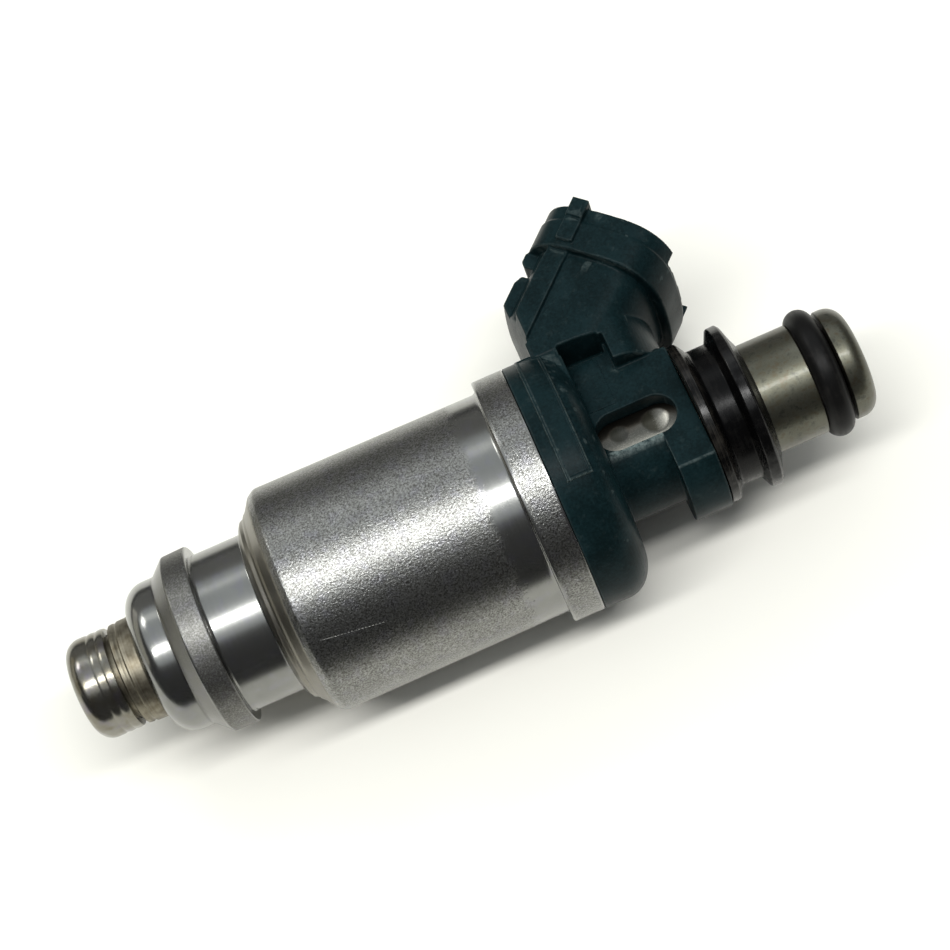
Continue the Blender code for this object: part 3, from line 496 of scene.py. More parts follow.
def plainSteel(name, pale, dull, rough):
    made = Finish(name, Metallic=1.0)
    lines = made.ringed(0.25)
    blots = made.noise(2.0, 3.0)
    paint = made.mix(made.step(blots, 0.35, 0.7), pale, dull)
    made.feed(Base_Color=paint, Roughness=rough + (lines - 0.5) * 0.12)
    made.bump(lines, 0.005)
    return made.material


def tealPlastic(name, wearAndHighlight, cornerWearAndHighlight=0.22):
    look = {
        "teal": (0.0056, 0.0154, 0.0176),
        "deep": (0.0024, 0.0076, 0.0086),
        "wornAndLit": (0.14, 0.18, 0.175),
        "rough": 0.33,
    }
    made = Finish(name, Specular_IOR_Level=0.05)
    blots = made.noise(3.5, 4.0)
    grain = made.noise(0.11, 2.0)
    grit = made.noise(0.3, 3.0, None, 0.7)
    scuffs = made.noise(0.9, 4.0, None, 0.7)
    corners = made.node("ShaderNodeNewGeometry", {}, {}, "Pointiness")
    # The lighter edge colour is wear and painted highlight: it lightens sharp corners and the edge lines
    # given by the wear function.
    rubbedAndLit = wearAndHighlight(made) + made.step(corners, 0.51, 0.57) * cornerWearAndHighlight
    wornAndLit = rubbedAndLit * made.step(scuffs * 0.4 + grit * 0.6, 0.36, 0.6)
    paint = made.mix(made.step(blots * 0.5 + grit * 0.5, 0.42, 0.6), look["teal"], look["deep"])
    paint = made.mix(made.step(scuffs, 0.56, 0.8) * 0.075 + wornAndLit * 0.85, paint, look["wornAndLit"])
    gloss = look["rough"] + (blots - 0.5) * 0.2 + made.step(scuffs, 0.55, 0.75) * 0.14
    made.feed(Base_Color=paint, Roughness=gloss)
    made.bump(grain * 0.6 + scuffs * 0.4, 0.012)
    return made.material


# Wear and painted highlights along the edges of the side flats: below the window, on the collar and at the
# step.
def rubbedAndLitEdges(made):
    edge = {
        "flat": 5.8,
        "neck": (-3.1, -2.25),
        "window": (-1.9, -2.05),
        "collar": (-6.5, -6.25),
        "stepSide": (-6.5, -2.2),
        "step": 63.1,
        "neckLow": 57.5,
        "end": 66.8,
    }
    side = made.z.maths("ABSOLUTE", made.z) / mm
    low = made.y / mm
    near = made.step(side, edge["flat"] - 0.7, edge["flat"] - 0.3)
    near = near * made.step(side, edge["flat"] + 0.2, edge["flat"])
    belowWindow = made.step(low, *edge["neck"]) * made.step(low, *edge["window"])
    belowWindow = belowWindow * made.between(edge["neckLow"], edge["step"], 0.1)
    onCollar = made.between(*edge["collar"], 0.05, low) * made.between(edge["step"], edge["end"], 0.1)
    onStep = made.between(edge["step"] - 0.06, edge["step"] + 0.08, 0.03)
    onStep = onStep * made.between(*edge["stepSide"], 0.1, low)
    return near * (belowWindow * 1.3 + onCollar * 0.3 + onStep * 0.3)


# Wear and painted highlights along the label's border lines and its lower edge.
def rubbedAndLitBorder(made):
    border = {"lines": (52.68, 52.96, 55.2), "half": 0.07, "foot": -27.6, "footHalf": 0.5}
    turn = made.y.maths("ARCTAN2", made.y, made.z) * math.degrees(1)
    foot, footHalf = border["foot"], border["footHalf"]
    mask = made.between(foot - footHalf, foot + footHalf, 0.1, turn)
    for x in border["lines"]:
        mask = mask + made.between(x - border["half"], x + border["half"], 0.04)
    return mask * 0.3


rubbers = {
    "grommet": {
        "black": (0.0014, 0.0014, 0.0015),
        "grey": (0.005, 0.0047, 0.0043),
        "dust": (0.05, 0.044, 0.035),
        "dusty": (66.9, 68.3),
        "rims": ((67.0, 68.0), (71.3, 72.5)),
        "rough": 0.25,
    },
    "seal": {
        "black": (0.0045, 0.0044, 0.0044),
        "grey": (0.013, 0.012, 0.011),
        "dust": (0.03, 0.028, 0.025),
        "dusty": (78.6, 78.8),
        "rims": (),
        "rough": 0.38,
    },
}


def blackRubber(name, look):
    made = Finish(name, Specular_IOR_Level=0.11, Coat_Weight=0.0, Coat_Roughness=0.2)
    blots = made.noise(1.8, 4.0, None, 0.6)
    rings = made.ringed(0.45)
    grain = made.noise(0.14, 2.0)
    dust = made.step(blots * 0.6 + rings * 0.4, 0.5, 0.66)
    streaks = made.ringed(0.16) * 0.6 + blots * 0.4
    foot = made.between(*look["dusty"], 0.15) * made.step(streaks, 0.46, 0.62)
    paint = made.mix(dust, look["black"], look["grey"])
    paint = made.mix(foot * 0.32, paint, look["dust"])
    made.feed(Base_Color=paint, Roughness=look["rough"] + dust * 0.14 + (grain - 0.5) * 0.1)
    if look["rims"]:
        shine = sum(made.between(*ends, 0.08) for ends in look["rims"])
        made.feed(Coat_Weight=shine * 0.3 * made.step(blots, 0.35, 0.55))
    made.bump(grain * 0.4 + rings * 0.4, 0.005)
    return made.material


def palePlastic(name, pale, deep, rough):
    made = Finish(name)
    blots = made.noise(1.5, 3.0)
    grain = made.noise(0.15, 2.0)
    paint = made.mix(made.step(blots, 0.35, 0.7), pale, deep)
    made.feed(Base_Color=paint, Roughness=rough + (blots - 0.5) * 0.2)
    made.bump(grain, 0.01)
    return made.material


def woundCopper():
    made = Finish("woundCopper", Metallic=1.0)
    turns = made.waves("X", 900.0)
    blots = made.noise(2.0, 3.0)
    paint = made.mix(turns, (0.28, 0.1, 0.04), (0.72, 0.33, 0.16))
    made.feed(Base_Color=paint, Roughness=0.3 + blots * 0.15)
    made.bump(turns, 0.05)
    return made.material


def wovenGauze():
    made = Finish("wovenGauze", Metallic=0.6)
    weave = made.waves("X", 1500.0)
    weft = made.waves("Y", 1500.0)
    mesh = weave.maths("MAXIMUM", weave, weft)
    paint = made.mix(mesh, (0.1, 0.1, 0.09), (0.55, 0.54, 0.48))
    made.feed(Base_Color=paint, Roughness=0.3 + mesh * 0.2)
    made.bump(mesh, 0.03)
    return made.material


finishes = {
    "blasted": blastedSteel(),
    "cap": capSteel(),
    "tempered": temperedSteel(),
    "tube": tubeSteel(),
    "plastic": tealPlastic("tealPlastic", rubbedAndLitEdges),
    "label": tealPlastic("labelPlastic", rubbedAndLitBorder),
    "panel": tealPlastic("panelPlastic", rubbedAndLitEdges, 0.0),
    "grommet": blackRubber("grommetRubber", rubbers["grommet"]),
    "rubber": blackRubber("sealRubber", rubbers["seal"]),
    "bright": plainSteel("brightSteel", (0.62, 0.6, 0.56), (0.45, 0.43, 0.4), 0.25),
    "dark": plainSteel("darkSteel", (0.34, 0.33, 0.32), (0.2, 0.2, 0.19), 0.38),
    "spring": plainSteel("springSteel", (0.4, 0.4, 0.41), (0.25, 0.25, 0.26), 0.3),
    "tin": plainSteel("tinnedBrass", (0.72, 0.7, 0.66), (0.55, 0.52, 0.46), 0.28),
    "pale": palePlastic("paleNylon", (0.55, 0.5, 0.36), (0.42, 0.37, 0.25), 0.45),
    "tape": palePlastic("coilTape", (0.5, 0.38, 0.09), (0.36, 0.26, 0.05), 0.4),
    "copper": woundCopper(),
    "gauze": wovenGauze(),
}
print("materials made:", len(finishes))

# Nozzle end

nozzle = {
    "length": 4.5,
    "radius": 5.3,
    "corner": 1.75,
    "ribs": 3,
    "ribDepth": 0.1,
    "ribPoints": 8,
    "floor": 1.0,
    "opening": 2.4,
    "bore": 4.5,
}


def capOutline(size):
    corner = size["corner"]
    pitch = (size["length"] - corner) / size["ribs"]
    outline = [(0, size["opening"] + size["floor"] / 2, 0.15), (0, size["radius"], corner)]
    for i in range(size["ribs"]):
        for k in range(size["ribPoints"]):
            across = 2 * k / size["ribPoints"] - 1
            sunk = 0 if i == 0 and across < 0 else size["ribDepth"] * across * across
            outline.append((corner + (i + k / size["ribPoints"]) * pitch, size["radius"] - sunk, 0))
    outline.append((size["length"], size["radius"] - size["ribDepth"], 0.08))
    outline += [(size["length"], size["bore"], 0), (size["floor"], size["bore"], 0)]
    outline += [(size["floor"], size["opening"], 0.1), (size["floor"] / 2, size["opening"], 0.1)]
    return roundCorners(outline)


capMesh = asMesh("nozzleCap", spin(capOutline(nozzle)))
addPiece("nozzleCap", capMesh, finishes["cap"], ["nozzle_cap"])

nozzleOutline = [
    (16.15, 3.0, 0), (16.15, 6.85, 0.1), (8.8, 6.85, 0.1), (8.8, 5.4, 0),
    (6.0, 5.36, 0.05), (5.85, 5.22, 0.05), (5.65, 5.22, 0.05), (5.5, 5.3, 0.05),
    (5.14, 5.27, 0.05), (5.0, 5.1, 0.04), (5.0, 4.4, 0), (1.75, 4.4, 0.05), (1.75, 0.5, 0),
    (2.7, 0.5, 0), (4.0, 1.8, 0), (14.55, 1.8, 0), (14.55, 3.0, 0),
]
nozzleMesh = asMesh("nozzleSleeve", spin(roundCorners(nozzleOutline, 3)))
addPiece("nozzleSleeve", nozzleMesh, finishes["tempered"], ["nozzle_body"])

spray = {"holes": 4, "holeRadius": 0.22, "points": 24, "low": 0.5, "high": 2.2}
sprayDisc = spin(roundCorners([(1.65, 0, 0), (1.65, 4.4, 0.08), (1.1, 4.4, 0.08), (1.1, 0, 0)]), 96)
sprayHoles = []
for i in range(spray["holes"]):
    turn = math.radians(360 / spray["holes"] * i + 45)
    place = Matrix.Translation((0, math.cos(turn) * mm, math.sin(turn) * mm))
    place = place @ Matrix.Rotation(math.pi / 2, 4, "Y")
    circle = []
    for k in range(spray["points"]):
        around = math.radians(360 / spray["points"] * k)
        circle.append((spray["holeRadius"] * math.cos(around), spray["holeRadius"] * math.sin(around)))
    sprayHoles.append(("DIFFERENCE", prism(circle, spray["low"], spray["high"], place)))
sprayMesh = carve("sprayDisc", sprayDisc, sprayHoles)
addPiece("sprayDisc", sprayMesh, finishes["bright"], ["spray_plate"])

# Steel body

bodyOutline = [
    (7.4, 5.4, 0.05), (7.4, 7.97, 2.58), (11.15, 7.97, 0.35), (12.7, 9.42, 0.4), (15.3, 9.49, 0.3),
    (15.35, 8.5, 0.05), (15.55, 8.37, 0.1), (20.75, 8.37, 0.2), (21.05, 9.05, 0.15), (21.35, 9.53, 0.25),
    (21.75, 9.68, 0.15), (21.95, 10.0, 0.15), (22.2, 10.22, 0.3), (22.45, 10.55, 0.5),
    (23.1, 11.5, 0.7), (23.9, 11.99, 0.7),
    (47.6, 11.78, 0), (47.95, 11.95, 0.25), (47.95, 12.95, 0.2), (51.27, 12.95, 0.1), (51.27, 11.9, 0.05),
    (47.95, 11.9, 0), (47.95, 10.85, 0), (24.6, 10.85, 0), (24.6, 6.1, 0), (22.9, 6.1, 0), (22.9, 4.35, 0),
    (17.85, 4.35, 0), (17.85, 6.95, 0), (8.7, 6.95, 0), (8.7, 5.4, 0),
]
bodyMesh = asMesh("steelBody", spin(roundCorners(bodyOutline), 256))
addPiece("steelBody", bodyMesh, finishes["blasted"], ["solenoid_housing"])

# Inlet end

def coreWobble(x, r, turn):
    if abs(r - tube["core"]) > 0.01:
        return 0
    sunk = 0
    for dent in dents:
        for facing in (0, math.pi):
            around = (turn - math.radians(dent["turn"]) - facing + math.pi) % (2 * math.pi) - math.pi
            away = math.hypot(x - dent["x"], around * r) / dent["radius"]
            sunk -= dent["depth"] * max(0.0, 1 - away * away)
    return sunk


def coreOutline():
    outline = [(70.35, 3.0, 0), (67.35, 2.45, 0), (32.05, 2.45, 0), (32.05, tube["core"], 0.1)]
    steps = round((66.5 - 57.4) / tube["finest"])
    outline += [(57.4 + tube["finest"] * k, tube["core"], 0) for k in range(steps + 1)]
    outline += [(67.1, tube["core"], 0), (67.1, tube["radius"], 0.1), (78.7, tube["radius"], 0.12)]
    outline += [(78.7, 3.85, 0.2), (81.8, 3.85, 0.2), (81.8, tube["radius"], 0.12)]
    outline += [(tube["end"], tube["radius"], tube["corner"]), (tube["end"], 3.0, 0.3)]
    return roundCorners(outline)


coreMesh = asMesh("inletTube", spin(coreOutline(), 224, coreWobble))
addPiece("inletTube", coreMesh, finishes["tube"], ["fuel_inlet_core"])

sealRing = {"x": 80.1, "r": 5.32, "section": 1.42, "points": 32}
sealLine = []
for k in range(sealRing["points"]):
    turn = math.radians(360 * k / sealRing["points"])
    across = sealRing["section"] * math.cos(turn)
    outward = sealRing["section"] * math.sin(turn)
    sealLine.append((sealRing["x"] + across, sealRing["r"] + outward))
sealMesh = asMesh("railSeal", spin(sealLine))
addPiece("railSeal", sealMesh, finishes["rubber"], ["rail_o_ring"])

grommetOutline = [
    (67.1, 5.87, 0.1), (67.1, 8.4, 0.15), (67.95, 8.4, 0.2), (68.2, 8.05, 0.15),
    (68.7, 7.2, 0.35), (70.8, 7.2, 0.3), (71.4, 8.5, 0.25), (72.35, 8.55, 0.2),
    (72.6, 8.25, 0.3), (73.05, 6.9, 0.4), (73.35, 6.2, 0.2), (73.4, 5.87, 0.1),
]
grommetMesh = asMesh("railGrommet", spin(roundCorners(grommetOutline)))
addPiece("railGrommet", grommetMesh, finishes["grommet"], ["rail_grommet"])

# Inlet filter

filterCup = [
    (83.45, 1.65, 0.15), (83.45, 2.9, 0.2), (81.05, 2.9, 0.2), (81.05, 2.2, 0.1),
    (72.45, 2.2, 0.2), (72.45, 0, 0), (73.25, 0, 0), (73.25, 1.65, 0.1),
]
filterWindow = {"low": (73.95, -3.5, -0.95), "high": (80.35, 3.5, 0.95)}
filterWindows = []
for turn in (0, math.pi / 2):
    cutter = slab(filterWindow["low"], filterWindow["high"], Matrix.Rotation(turn, 4, "X"))
    filterWindows.append(("DIFFERENCE", cutter))
filterMesh = carve("filterCage", spin(roundCorners(filterCup), 96), filterWindows)
addPiece("filterCage", filterMesh, finishes["pale"], ["inlet_filter_frame"])
screenLine = [(83.35, 1.3), (83.35, 1.55), (73.35, 1.55), (73.35, 1.3)]
screenMesh = asMesh("filterGauze", spin(screenLine, 96))
addPiece("filterGauze", screenMesh, finishes["gauze"], ["filter_screen"])
print("turned pieces done")

# Plastic connector. Its frame: across (sideways), down (towards the inlet and the axis), out of the mouth.

connector = {
    "mouth": (67.0, 21.3, 0.0),
    "width": 9.87,
    "depth": 7.63,
    "length": 4.9,
    "step": 1.1,
    "wall": 2.4,
    "socket": 10.5,
    "squareness": 2 / 3,
    "rimBand": 1.75,
    "rimBandDepth": 0.14,
    "rimBandRoot": 3.0,
    "voxel": 0.12,
    "smooth": 3,
    "keep": 0.4,
}
hood = {"low": 51.3, "high": 57.2, "radius": 12.95, "cornerLength": 3.2, "cornerDepth": 4.0}
neck = {
    "radius": 6.32,
    "collar": 8.62,
    "collarLow": 63.1,
    "top": 67.0,
    "bore": 4.3,
    "channel": 4.4,
    "plug": 11.8,
    "plugLow": 50.05,
}
block = {
    "low": 54.3,
    "step": 62.0,
    "high": 66.8,
    "halfWidth": 6.6,
    "tall": 11.7,
    "short": 6.6,
    "base": -1.075,
}
cheek = {"low": 54.4, "inner": 4.8, "outer": 11.6, "halfWidth": 8.67}
flat = {"low": 57.3, "halfWidth": 5.8, "below": -9.4, "above": 12.7}
throat = {
    "reach": 25.8,
    "back": 50.0,
    "underside": 9.7,
    "foot": 6.5,
    "heel": 61.8,
    "heelLength": 5.1,
    "heelWidth": 8.0,
    "heelTop": 13.6,
}
backWall = {"middle": 53.6, "side": 54.75, "halfWidth": 8.8}
pad = {"halfWidth": 6.1, "proud": 0.5, "top": -7.5, "slope": 0.9, "slopeDepth": 0.45}
bar = {"halfWidth": 6.2, "low": -6.5, "high": -4.6, "inset": 0.42, "corner": 0.45}
key = {
    "width": 1.8,
    "down": -2.5,
    "steps": {
        1: ((-4.3, -1.4, 0.45), (-1.6, 0.45, 0.75)),
        -1: ((-4.3, -1.4, 0.1), (-1.9, -0.93, 0.25)),
    },
}
guide = {
    "width": 2.2,
    "down": -3.05,
    "low": -20.0,
    "taper": -6.6,
    "high": -3.9,
    "proud": 0.5,
    "flush": 0.06,
    "root": 2.2,
}
notch = {"low": (-5.4, 4.0, -1.4), "high": (5.4, 8.5, 1.0)}
window = {"low": 59.15, "high": 63.25, "radius": 2.15, "inner": 3.1}
pocket = {"start": 57.05, "length": 4.3, "low": 8.7, "high": 9.9, "inner": 3.9}
blades = {"spacing": 2.6, "thickness": 0.8, "clearance": 0.12, "edge": 0.12}
bladeSlot = [(65.5, 19.8), (64.3, 21.0), (53.6, 9.32), (48.0, 9.32), (48.0, 7.28), (54.4, 7.28)]
outside = 14.0
slope = math.sqrt(0.5)
mouthPlace = Matrix((
    (0, slope, slope, connector["mouth"][0] * mm),
    (0, -slope, slope, connector["mouth"][1] * mm),
    (1, 0, 0, 0),
    (0, 0, 0, 1),
))
worldPlace = Matrix.Identity(4)
uprightPlace = Matrix(((1, 0, 0, 0), (0, 0, 1, 0), (0, 1, 0, 0), (0, 0, 0, 1)))
# sidePlace is drawn as (out, down), planPlace as (out, across).
sidePlace = mouthPlace @ Matrix(((0, 0, 1, 0), (0, 1, 0, 0), (1, 0, 0, 0), (0, 0, 0, 1)))
planPlace = mouthPlace @ Matrix(((0, 1, 0, 0), (0, 0, 1, 0), (1, 0, 0, 0), (0, 0, 0, 1)))


def oval(width, depth, points=144):
    outline = []
    for k in range(points):
        c = math.cos(2 * math.pi * k / points)
        s = math.sin(2 * math.pi * k / points)
        power = connector["squareness"]
        across = width * math.copysign(abs(c) ** power, c)
        outline.append((across, depth * math.copysign(abs(s) ** power, s)))
    return outline


def hoodRadius(x):
    past = max(0.0, (x - hood["high"] + hood["cornerLength"]) / hood["cornerLength"])
    return hood["radius"] - hood["cornerDepth"] * (1 - math.sqrt(1 - min(past, 1.0) ** 2))


def hoodOutline():
    outline = [(neck["top"], neck["bore"]), (neck["top"], neck["collar"])]
    outline += [(neck["collarLow"], neck["collar"]), (neck["collarLow"], neck["radius"])]
    outline += [(hood["high"], neck["radius"])]
    for k in range(13):
        x = hood["high"] - hood["cornerLength"] * (1 - math.cos(math.radians(k * 7.5)))
        outline.append((x, hoodRadius(x)))
    outline += [(hood["low"], hood["radius"]), (hood["low"], neck["plug"])]
    return outline + [(neck["plugLow"], neck["plug"]), (neck["plugLow"], neck["bore"])]


def bothSides(inner, outer):
    return [tuple(sorted((side * inner, side * outer))) for side in (1, -1)]


def neckSteps():
    low, high = block["low"], block["high"]
    outline = [(low, block["base"]), (low, block["tall"]), (block["step"], block["tall"])]
    outline += [(block["step"], block["short"]), (high, block["short"]), (high, block["base"])]
    channel = [(neck["plugLow"] - 1, 0), (neck["plugLow"] - 1, neck["channel"])]
    channel += [(neck["top"] + 1, neck["channel"]), (neck["top"] + 1, 0)]
    solid = prism(outline, -block["halfWidth"], block["halfWidth"], worldPlace)
    hollow = carve("neckBlock", solid, [("DIFFERENCE", spin(channel, 96))])
    steps = [("UNION", asGrid(hollow))]
    cheekLow = (cheek["low"], cheek["inner"], -cheek["halfWidth"])
    cheekHigh = (hood["high"], cheek["outer"], cheek["halfWidth"])
    steps.append(("UNION", slab(cheekLow, cheekHigh, worldPlace)))
    for near, far in bothSides(flat["halfWidth"], outside):
        corner = (neck["top"] + 1, flat["above"], far)
        steps.append(("DIFFERENCE", slab((flat["low"], flat["below"], near), corner, worldPlace)))
    return steps


def throatSteps(width, depth):
    heelLine = []
    for k in range(72):
        turn = math.radians(5 * k)
        along = throat["heel"] + throat["heelLength"] * math.cos(turn)
        heelLine.append((along, throat["heelWidth"] * math.sin(turn)))
    far = connector["mouth"][0] + connector["depth"]
    tall = 2 * connector["mouth"][1]
    envelope = [(throat["back"], throat["underside"]), (throat["heel"], throat["underside"])]
    envelope += [(throat["heel"], throat["foot"]), (far, throat["foot"])]
    envelope += [(far, tall), (throat["back"], tall)]
    bowed = [(far, outside), (far, -outside)]
    for k in range(25):
        across = outside * (k / 12 - 1)
        bow = (across / backWall["halfWidth"]) ** 2
        bowed.append((backWall["middle"] + (backWall["side"] - backWall["middle"]) * bow, across))
    face = -depth - pad["proud"]
    padLine = [(1 - throat["reach"], -depth / 2), (1 - throat["reach"], face)]
    padLine += [(pad["top"] - pad["slope"], face), (pad["top"], face + pad["slopeDepth"])]
    padLine.append((pad["top"], -depth / 2))
    cut = [("UNION", prism(heelLine, throat["foot"] - 1, throat["heelTop"], uprightPlace))]
    cut.append(("UNION", prism(padLine, -pad["halfWidth"], pad["halfWidth"], sidePlace)))
    ends = (guide["down"] - guide["width"] / 2, guide["down"] + guide["width"] / 2)
    for side in (1, -1):
        root, proud = width - guide["root"], width + guide["proud"]
        line = [(guide["low"], root), (guide["low"], proud), (guide["taper"], proud)]
        line += [(guide["high"], width + guide["flush"]), (guide["high"], root)]
        cut.append(("UNION", prism([(out, side * across) for out, across in line], *ends, planPlace)))
    cut.append(("INTERSECT", prism(envelope, -20, 20, worldPlace)))
    cut.append(("INTERSECT", prism(bowed, 0, 2 * tall, uprightPlace)))
    slanted = prism(oval(width, depth), -throat["reach"], -connector["length"] / 2, mouthPlace)
    return [("UNION", asGrid(carve("throat", slanted, cut)))]


def shroudSteps(width, depth, throatWidth, throatDepth):
    band = connector["rimBandDepth"]
    steps = [("UNION", prism(oval(width, depth), -connector["length"], -connector["rimBand"], mouthPlace))]
    rim = oval(width - band, depth - band)
    steps.append(("UNION", prism(rim, -connector["rimBandRoot"], 0, mouthPlace)))
    face, corner = bar["inset"] - depth, bar["corner"]
    barLine = [(bar["low"], -throatDepth / 2), (bar["low"], face + corner), (bar["low"] + corner, face)]
    barLine += [(bar["high"] - corner, face), (bar["high"], face + corner), (bar["high"], -throatDepth / 2)]
    steps.append(("UNION", prism(barLine, -bar["halfWidth"], bar["halfWidth"], sidePlace)))
    ends = (key["down"] - key["width"] / 2, key["down"] + key["width"] / 2)
    for side, lugs in key["steps"].items():
        for low, high, proud in lugs:
            near, far = sorted((side * throatWidth, side * (width + proud)))
            steps.append(("UNION", slab((near, ends[0], low), (far, ends[1], high), mouthPlace)))
    return steps


def hollowSteps(width, depth):
    wall = connector["wall"]
    steps = [("DIFFERENCE", prism(oval(width - wall, depth - wall), -connector["socket"], 1.0, mouthPlace))]
    steps.append(("DIFFERENCE", slab(notch["low"], notch["high"], mouthPlace)))
    obround = []
    for centre, start in ((window["high"], -90), (window["low"], 90)):
        for k in range(25):
            turn = math.radians(start + 7.5 * k)
            obround.append((centre + window["radius"] * math.cos(turn), window["radius"] * math.sin(turn)))
    for near, far in bothSides(window["inner"], outside):
        steps.append(("DIFFERENCE", prism(obround, near, far, worldPlace)))
    for near, far in bothSides(pocket["inner"], outside):
        low = (pocket["start"], pocket["low"], near)
        high = (pocket["start"] + pocket["length"], pocket["high"], far)
        steps.append(("DIFFERENCE", slab(low, high, worldPlace)))
    half = blades["thickness"] / 2 + blades["clearance"]
    for near, far in bothSides(blades["spacing"] - half, blades["spacing"] + half):
        steps.append(("DIFFERENCE", prism(bladeSlot, near, far, worldPlace)))
    return steps


def connectorShell(size):
    width, depth, step = size["width"], size["depth"], size["step"]
    steps = neckSteps() + throatSteps(width - step, depth - step)
    steps += shroudSteps(width, depth, width - step, depth - step)
    steps += hollowSteps(width, depth)
    return carve("connectorShell", spin(hoodOutline()), steps, size["voxel"], size["smooth"], size["keep"])


shellMesh = connectorShell(connector)
addPiece("connectorShell", shellMesh, finishes["plastic"], ["connector_housing"], 0)

label = {
    "low": 52.6,
    "high": 55.3,
    "start": -28,
    "end": 52,
    "proud": 0.22,
    "border": 0.32,
    "field": 0.12,
    "edge": 0.1,
    "root": 0.4,
}


def ramp(value, low, high):
    part = min(1.0, max(0.0, (value - low) / (high - low)))
    return part * part * (3 - 2 * part)


def labelHeight(x, turn):
    around = math.radians(label["end"] - label["start"]) * hoodRadius(x)
    along = math.radians(math.degrees(turn) - label["start"]) * hoodRadius(x)
    inside = min(x - label["low"], label["high"] - x, along, around - along)
    edge, border = label["edge"], label["border"]
    rise = label["proud"] * ramp(inside, 0, edge)
    return rise - (label["proud"] - label["field"]) * ramp(inside, border, border + edge)


def labelPlate(rows=54, columns=240):
    grid = bmesh.new()
    sheets = []
    for raised in (True, False):
        sheet = []
        for i in range(rows + 1):
            x = label["low"] + (label["high"] - label["low"]) * i / rows
            line = []
            for k in range(columns + 1):
                turn = math.radians(label["start"] + (label["end"] - label["start"]) * k / columns)
                lift = labelHeight(x, turn) if raised else -label["root"]
                line.append(grid.verts.new(onCircle(x, hoodRadius(x) + lift, turn)))
            sheet.append(line)
        sheets.append(sheet)
    for sheet in sheets:
        for i in range(rows):
            for k in range(columns):
                grid.faces.new((sheet[i][k], sheet[i + 1][k], sheet[i + 1][k + 1], sheet[i][k + 1]))
    rims = []
    for sheet in sheets:
        rim = sheet[0][:-1] + [line[-1] for line in sheet[:-1]]
        rim += sheet[-1][:0:-1] + [line[0] for line in sheet[:0:-1]]
        rims.append(rim)
    for k in range(len(rims[0])):
        after = (k + 1) % len(rims[0])
        grid.faces.new((rims[0][k], rims[0][after], rims[1][after], rims[1][k]))
    bmesh.ops.recalc_face_normals(grid, faces=grid.faces)
    return asMesh("labelPlate", grid)


addPiece("labelPlate", labelPlate(), finishes["label"], (), 50)

panel = {"low": (57.45, 2.9), "high": (60.3, 8.4), "proud": 0.08, "root": 0.3, "edge": 0.05}
for side, name in ((1, "left"), (-1, "right")):
    root, proud = flat["halfWidth"] - panel["root"], flat["halfWidth"] + panel["proud"]
    ends = sorted((side * root, side * proud))
    plate = slab((*panel["low"], ends[0]), (*panel["high"], ends[1]), worldPlace, panel["edge"])
    addPiece("panel" + name.title(), asMesh("panel", plate), finishes["panel"], ())

bladeOutline = [(65.798, 18.826), (64.525, 20.098), (53.627, 9.2)]
bladeOutline += [(47.85, 9.2), (47.85, 7.4), (54.373, 7.4)]
halfBlade = blades["thickness"] / 2
for name, side in (("left", 1), ("right", -1)):
    middle = side * blades["spacing"]
    blade = prism(bladeOutline, middle - halfBlade, middle + halfBlade, worldPlace, blades["edge"])
    addPiece("blade" + name.title(), asMesh("blade", blade), finishes["tin"], ["terminal_" + name])
print("connector done")

# Return spring inside the armature, built at rest from the joint's fixed end. The real spring shortens as
# the needle lifts.

spring = {"length": 12.0, "radius": 1.85, "wire": 0.3, "curls": 9, "points": 36, "sides": 14}


def springWire(size, fixedEnd):
    grid = bmesh.new()
    count = size["curls"] * size["points"]
    rise = size["length"] - 2 * size["wire"]
    rings = []
    for i in range(count + 1):
        middle = fixedEnd - size["wire"] - rise * (1 - i / count)
        turn = math.pi / 2 - 2 * math.pi * i / size["points"]
        ring = []
        for k in range(size["sides"]):
            around = 2 * math.pi * k / size["sides"]
            x = middle + size["wire"] * math.sin(around)
            r = size["radius"] + size["wire"] * math.cos(around)
            ring.append(grid.verts.new(onCircle(x, r, turn)))
        rings.append(ring)
    for before, after in zip(rings, rings[1:]):
        for k in range(size["sides"]):
            j = (k + 1) % size["sides"]
            grid.faces.new((before[k], before[j], after[j], after[k]))
    for end in (rings[0], rings[-1]):
        grid.faces.new(end)
    bmesh.ops.recalc_face_normals(grid, faces=grid.faces)
    return asMesh("returnSpring", grid)


lift = frame["joints"][0]
fixedEnd = lift["deforming_nodes"][0]["fixed_end_x_m"]
springMesh = springWire(spring, fixedEnd / mm)
springPiece = addPiece("returnSpring", springMesh, finishes["spring"], ["return_spring"])
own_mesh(springPiece)

# The rest of the frame's nodes are inside the body and keep their shape.

innerFinishes = {
    "needle_valve": "bright",
    "armature": "dark",
    "stopper_spacer": "dark",
    "cover_plate": "dark",
    "spring_adjuster": "bright",
    "nozzle_seal": "rubber",
    "coil_seal_lower": "rubber",
    "coil_seal_upper": "rubber",
    "coil_bobbin": "pale",
    "coil_winding": "copper",
    "coil_tape": "tape",
}
for name, finish in innerFinishes.items():
    mesh = frame["nodes"][name].data
    mesh.materials.clear()
    mesh.materials.append(finishes[finish])
print("inner nodes finished:", len(innerFinishes))

# Studio

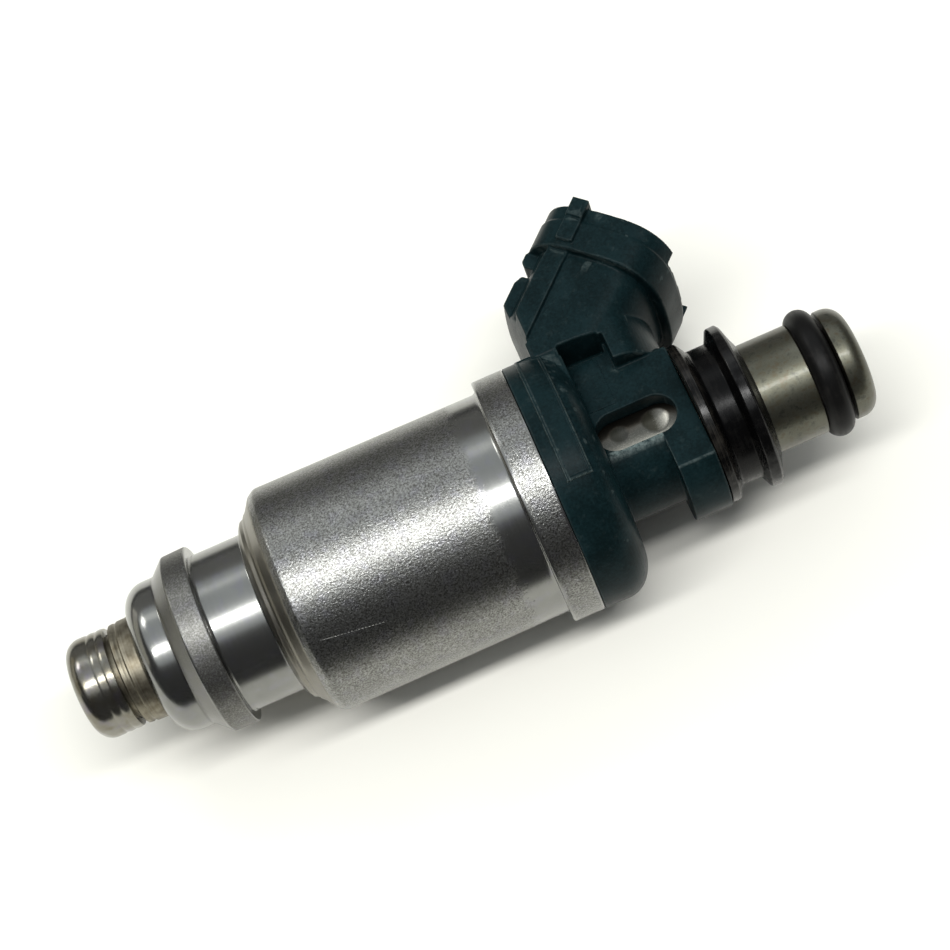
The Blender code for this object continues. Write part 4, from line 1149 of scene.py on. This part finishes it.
studio = {
    "floorLevel": -12.95,
    "aim": (0.04, 0.0, 0.0),
    "floorSize": 6.0,
    "floorColour": (0.865, 0.85, 0.785),
    "worldColour": (0.08, 0.08, 0.081),
    "boardColour": (0.03, 0.03, 0.03),
    "boardEnds": (-760, 840),
    "boardHeights": (0.1, 0.3),  # above the floor
    "boards": {"frontBoard": (-800, -52), "rearBoard": (85, 800)},  # seen by reflections only
    "cameraPlace": (0.04851, -0.11986, 0.2253),
    "cameraTurn": (26.6535, 11.9021, -20.5689),
    "lens": 96.955,
    "lamps": {
        # place, size, power, tint
        "strip": ((0.04, -0.14, 0.61), (1.0, 0.075), 4.6, (1.0, 1.0, 0.99)),
        "ceiling": ((0.04, 0.1, 0.62), (1.5, 1.25), 3.9, (0.94, 1.0, 1.04)),
        "farPanel": ((0.04, 0.48, 0.6), (1.5, 0.14), 0.5, (1.0, 1.0, 0.97)),
        "leftPanel": ((-0.6, 0.28, 0.14), (0.75, 0.28), 0.42, (1.0, 0.97, 0.82)),
        "leftLamp": ((-0.27, 0.37, 0.46), (0.15, 0.14), 0.4, (1.0, 0.99, 0.94)),
        "backWall": ((0.04, 0.95, 0.3), (1.8, 0.7), 0.75, (1.0, 1.0, 0.95)),
    },
}


def flatFinish(name, tint):
    made = Finish(name, Roughness=0.6, Specular_IOR_Level=0.2)
    cloud = made.noise(90.0, 3.0)
    shade = [value * 0.985 for value in tint]
    made.feed(Base_Color=made.mix(cloud, tint, shade))
    return made.material


def makeStudio():
    half = studio["floorSize"] / 2
    grid = bmesh.new()
    bmesh.ops.create_grid(grid, x_segments=8, y_segments=8, size=half)
    floor = bpy.data.objects.new("floor", asMesh("floor", grid))
    floor.location = (studio["aim"][0], 0, studio["floorLevel"] * mm)
    floor.data.materials.append(flatFinish("paleFloor", studio["floorColour"]))
    bpy.context.scene.collection.objects.link(floor)
    ends = studio["boardEnds"]
    low, high = (studio["floorLevel"] + height for height in studio["boardHeights"])
    for name, (near, far) in studio["boards"].items():
        card = slab((ends[0], near, low), (ends[1], far, high), worldPlace)
        board = bpy.data.objects.new(name, asMesh(name, card))
        board.data.materials.append(flatFinish(name, studio["boardColour"]))
        board.visible_camera = False
        board.visible_diffuse = False
        board.visible_shadow = False
        board.visible_transmission = False
        bpy.context.scene.collection.objects.link(board)
    for name, (place, size, power, tint) in studio["lamps"].items():
        light = bpy.data.lights.new(name, "AREA")
        light.shape = "RECTANGLE"
        light.size, light.size_y = size
        light.energy = power
        light.color = tint
        made = bpy.data.objects.new(name, light)
        made.location = place
        away = Vector(studio["aim"]) - Vector(place)
        made.rotation_euler = away.to_track_quat("-Z", "Y").to_euler()
        bpy.context.scene.collection.objects.link(made)
    world = bpy.context.scene.world or bpy.data.worlds.new("studio")
    bpy.context.scene.world = world
    world.use_nodes = True
    background = world.node_tree.nodes["Background"]
    background.inputs["Color"].default_value = (*studio["worldColour"], 1.0)
    lens = bpy.data.cameras.new("camera")
    lens.lens = studio["lens"]
    lens.sensor_width = 36.0
    lens.clip_start = 0.01
    camera = bpy.data.objects.new("camera", lens)
    camera.location = studio["cameraPlace"]
    camera.rotation_euler = Euler([math.radians(turn) for turn in studio["cameraTurn"]])
    bpy.context.scene.collection.objects.link(camera)
    bpy.context.scene.camera = camera
    bpy.context.scene.view_settings.view_transform = "Standard"


makeStudio()
print("studio done")
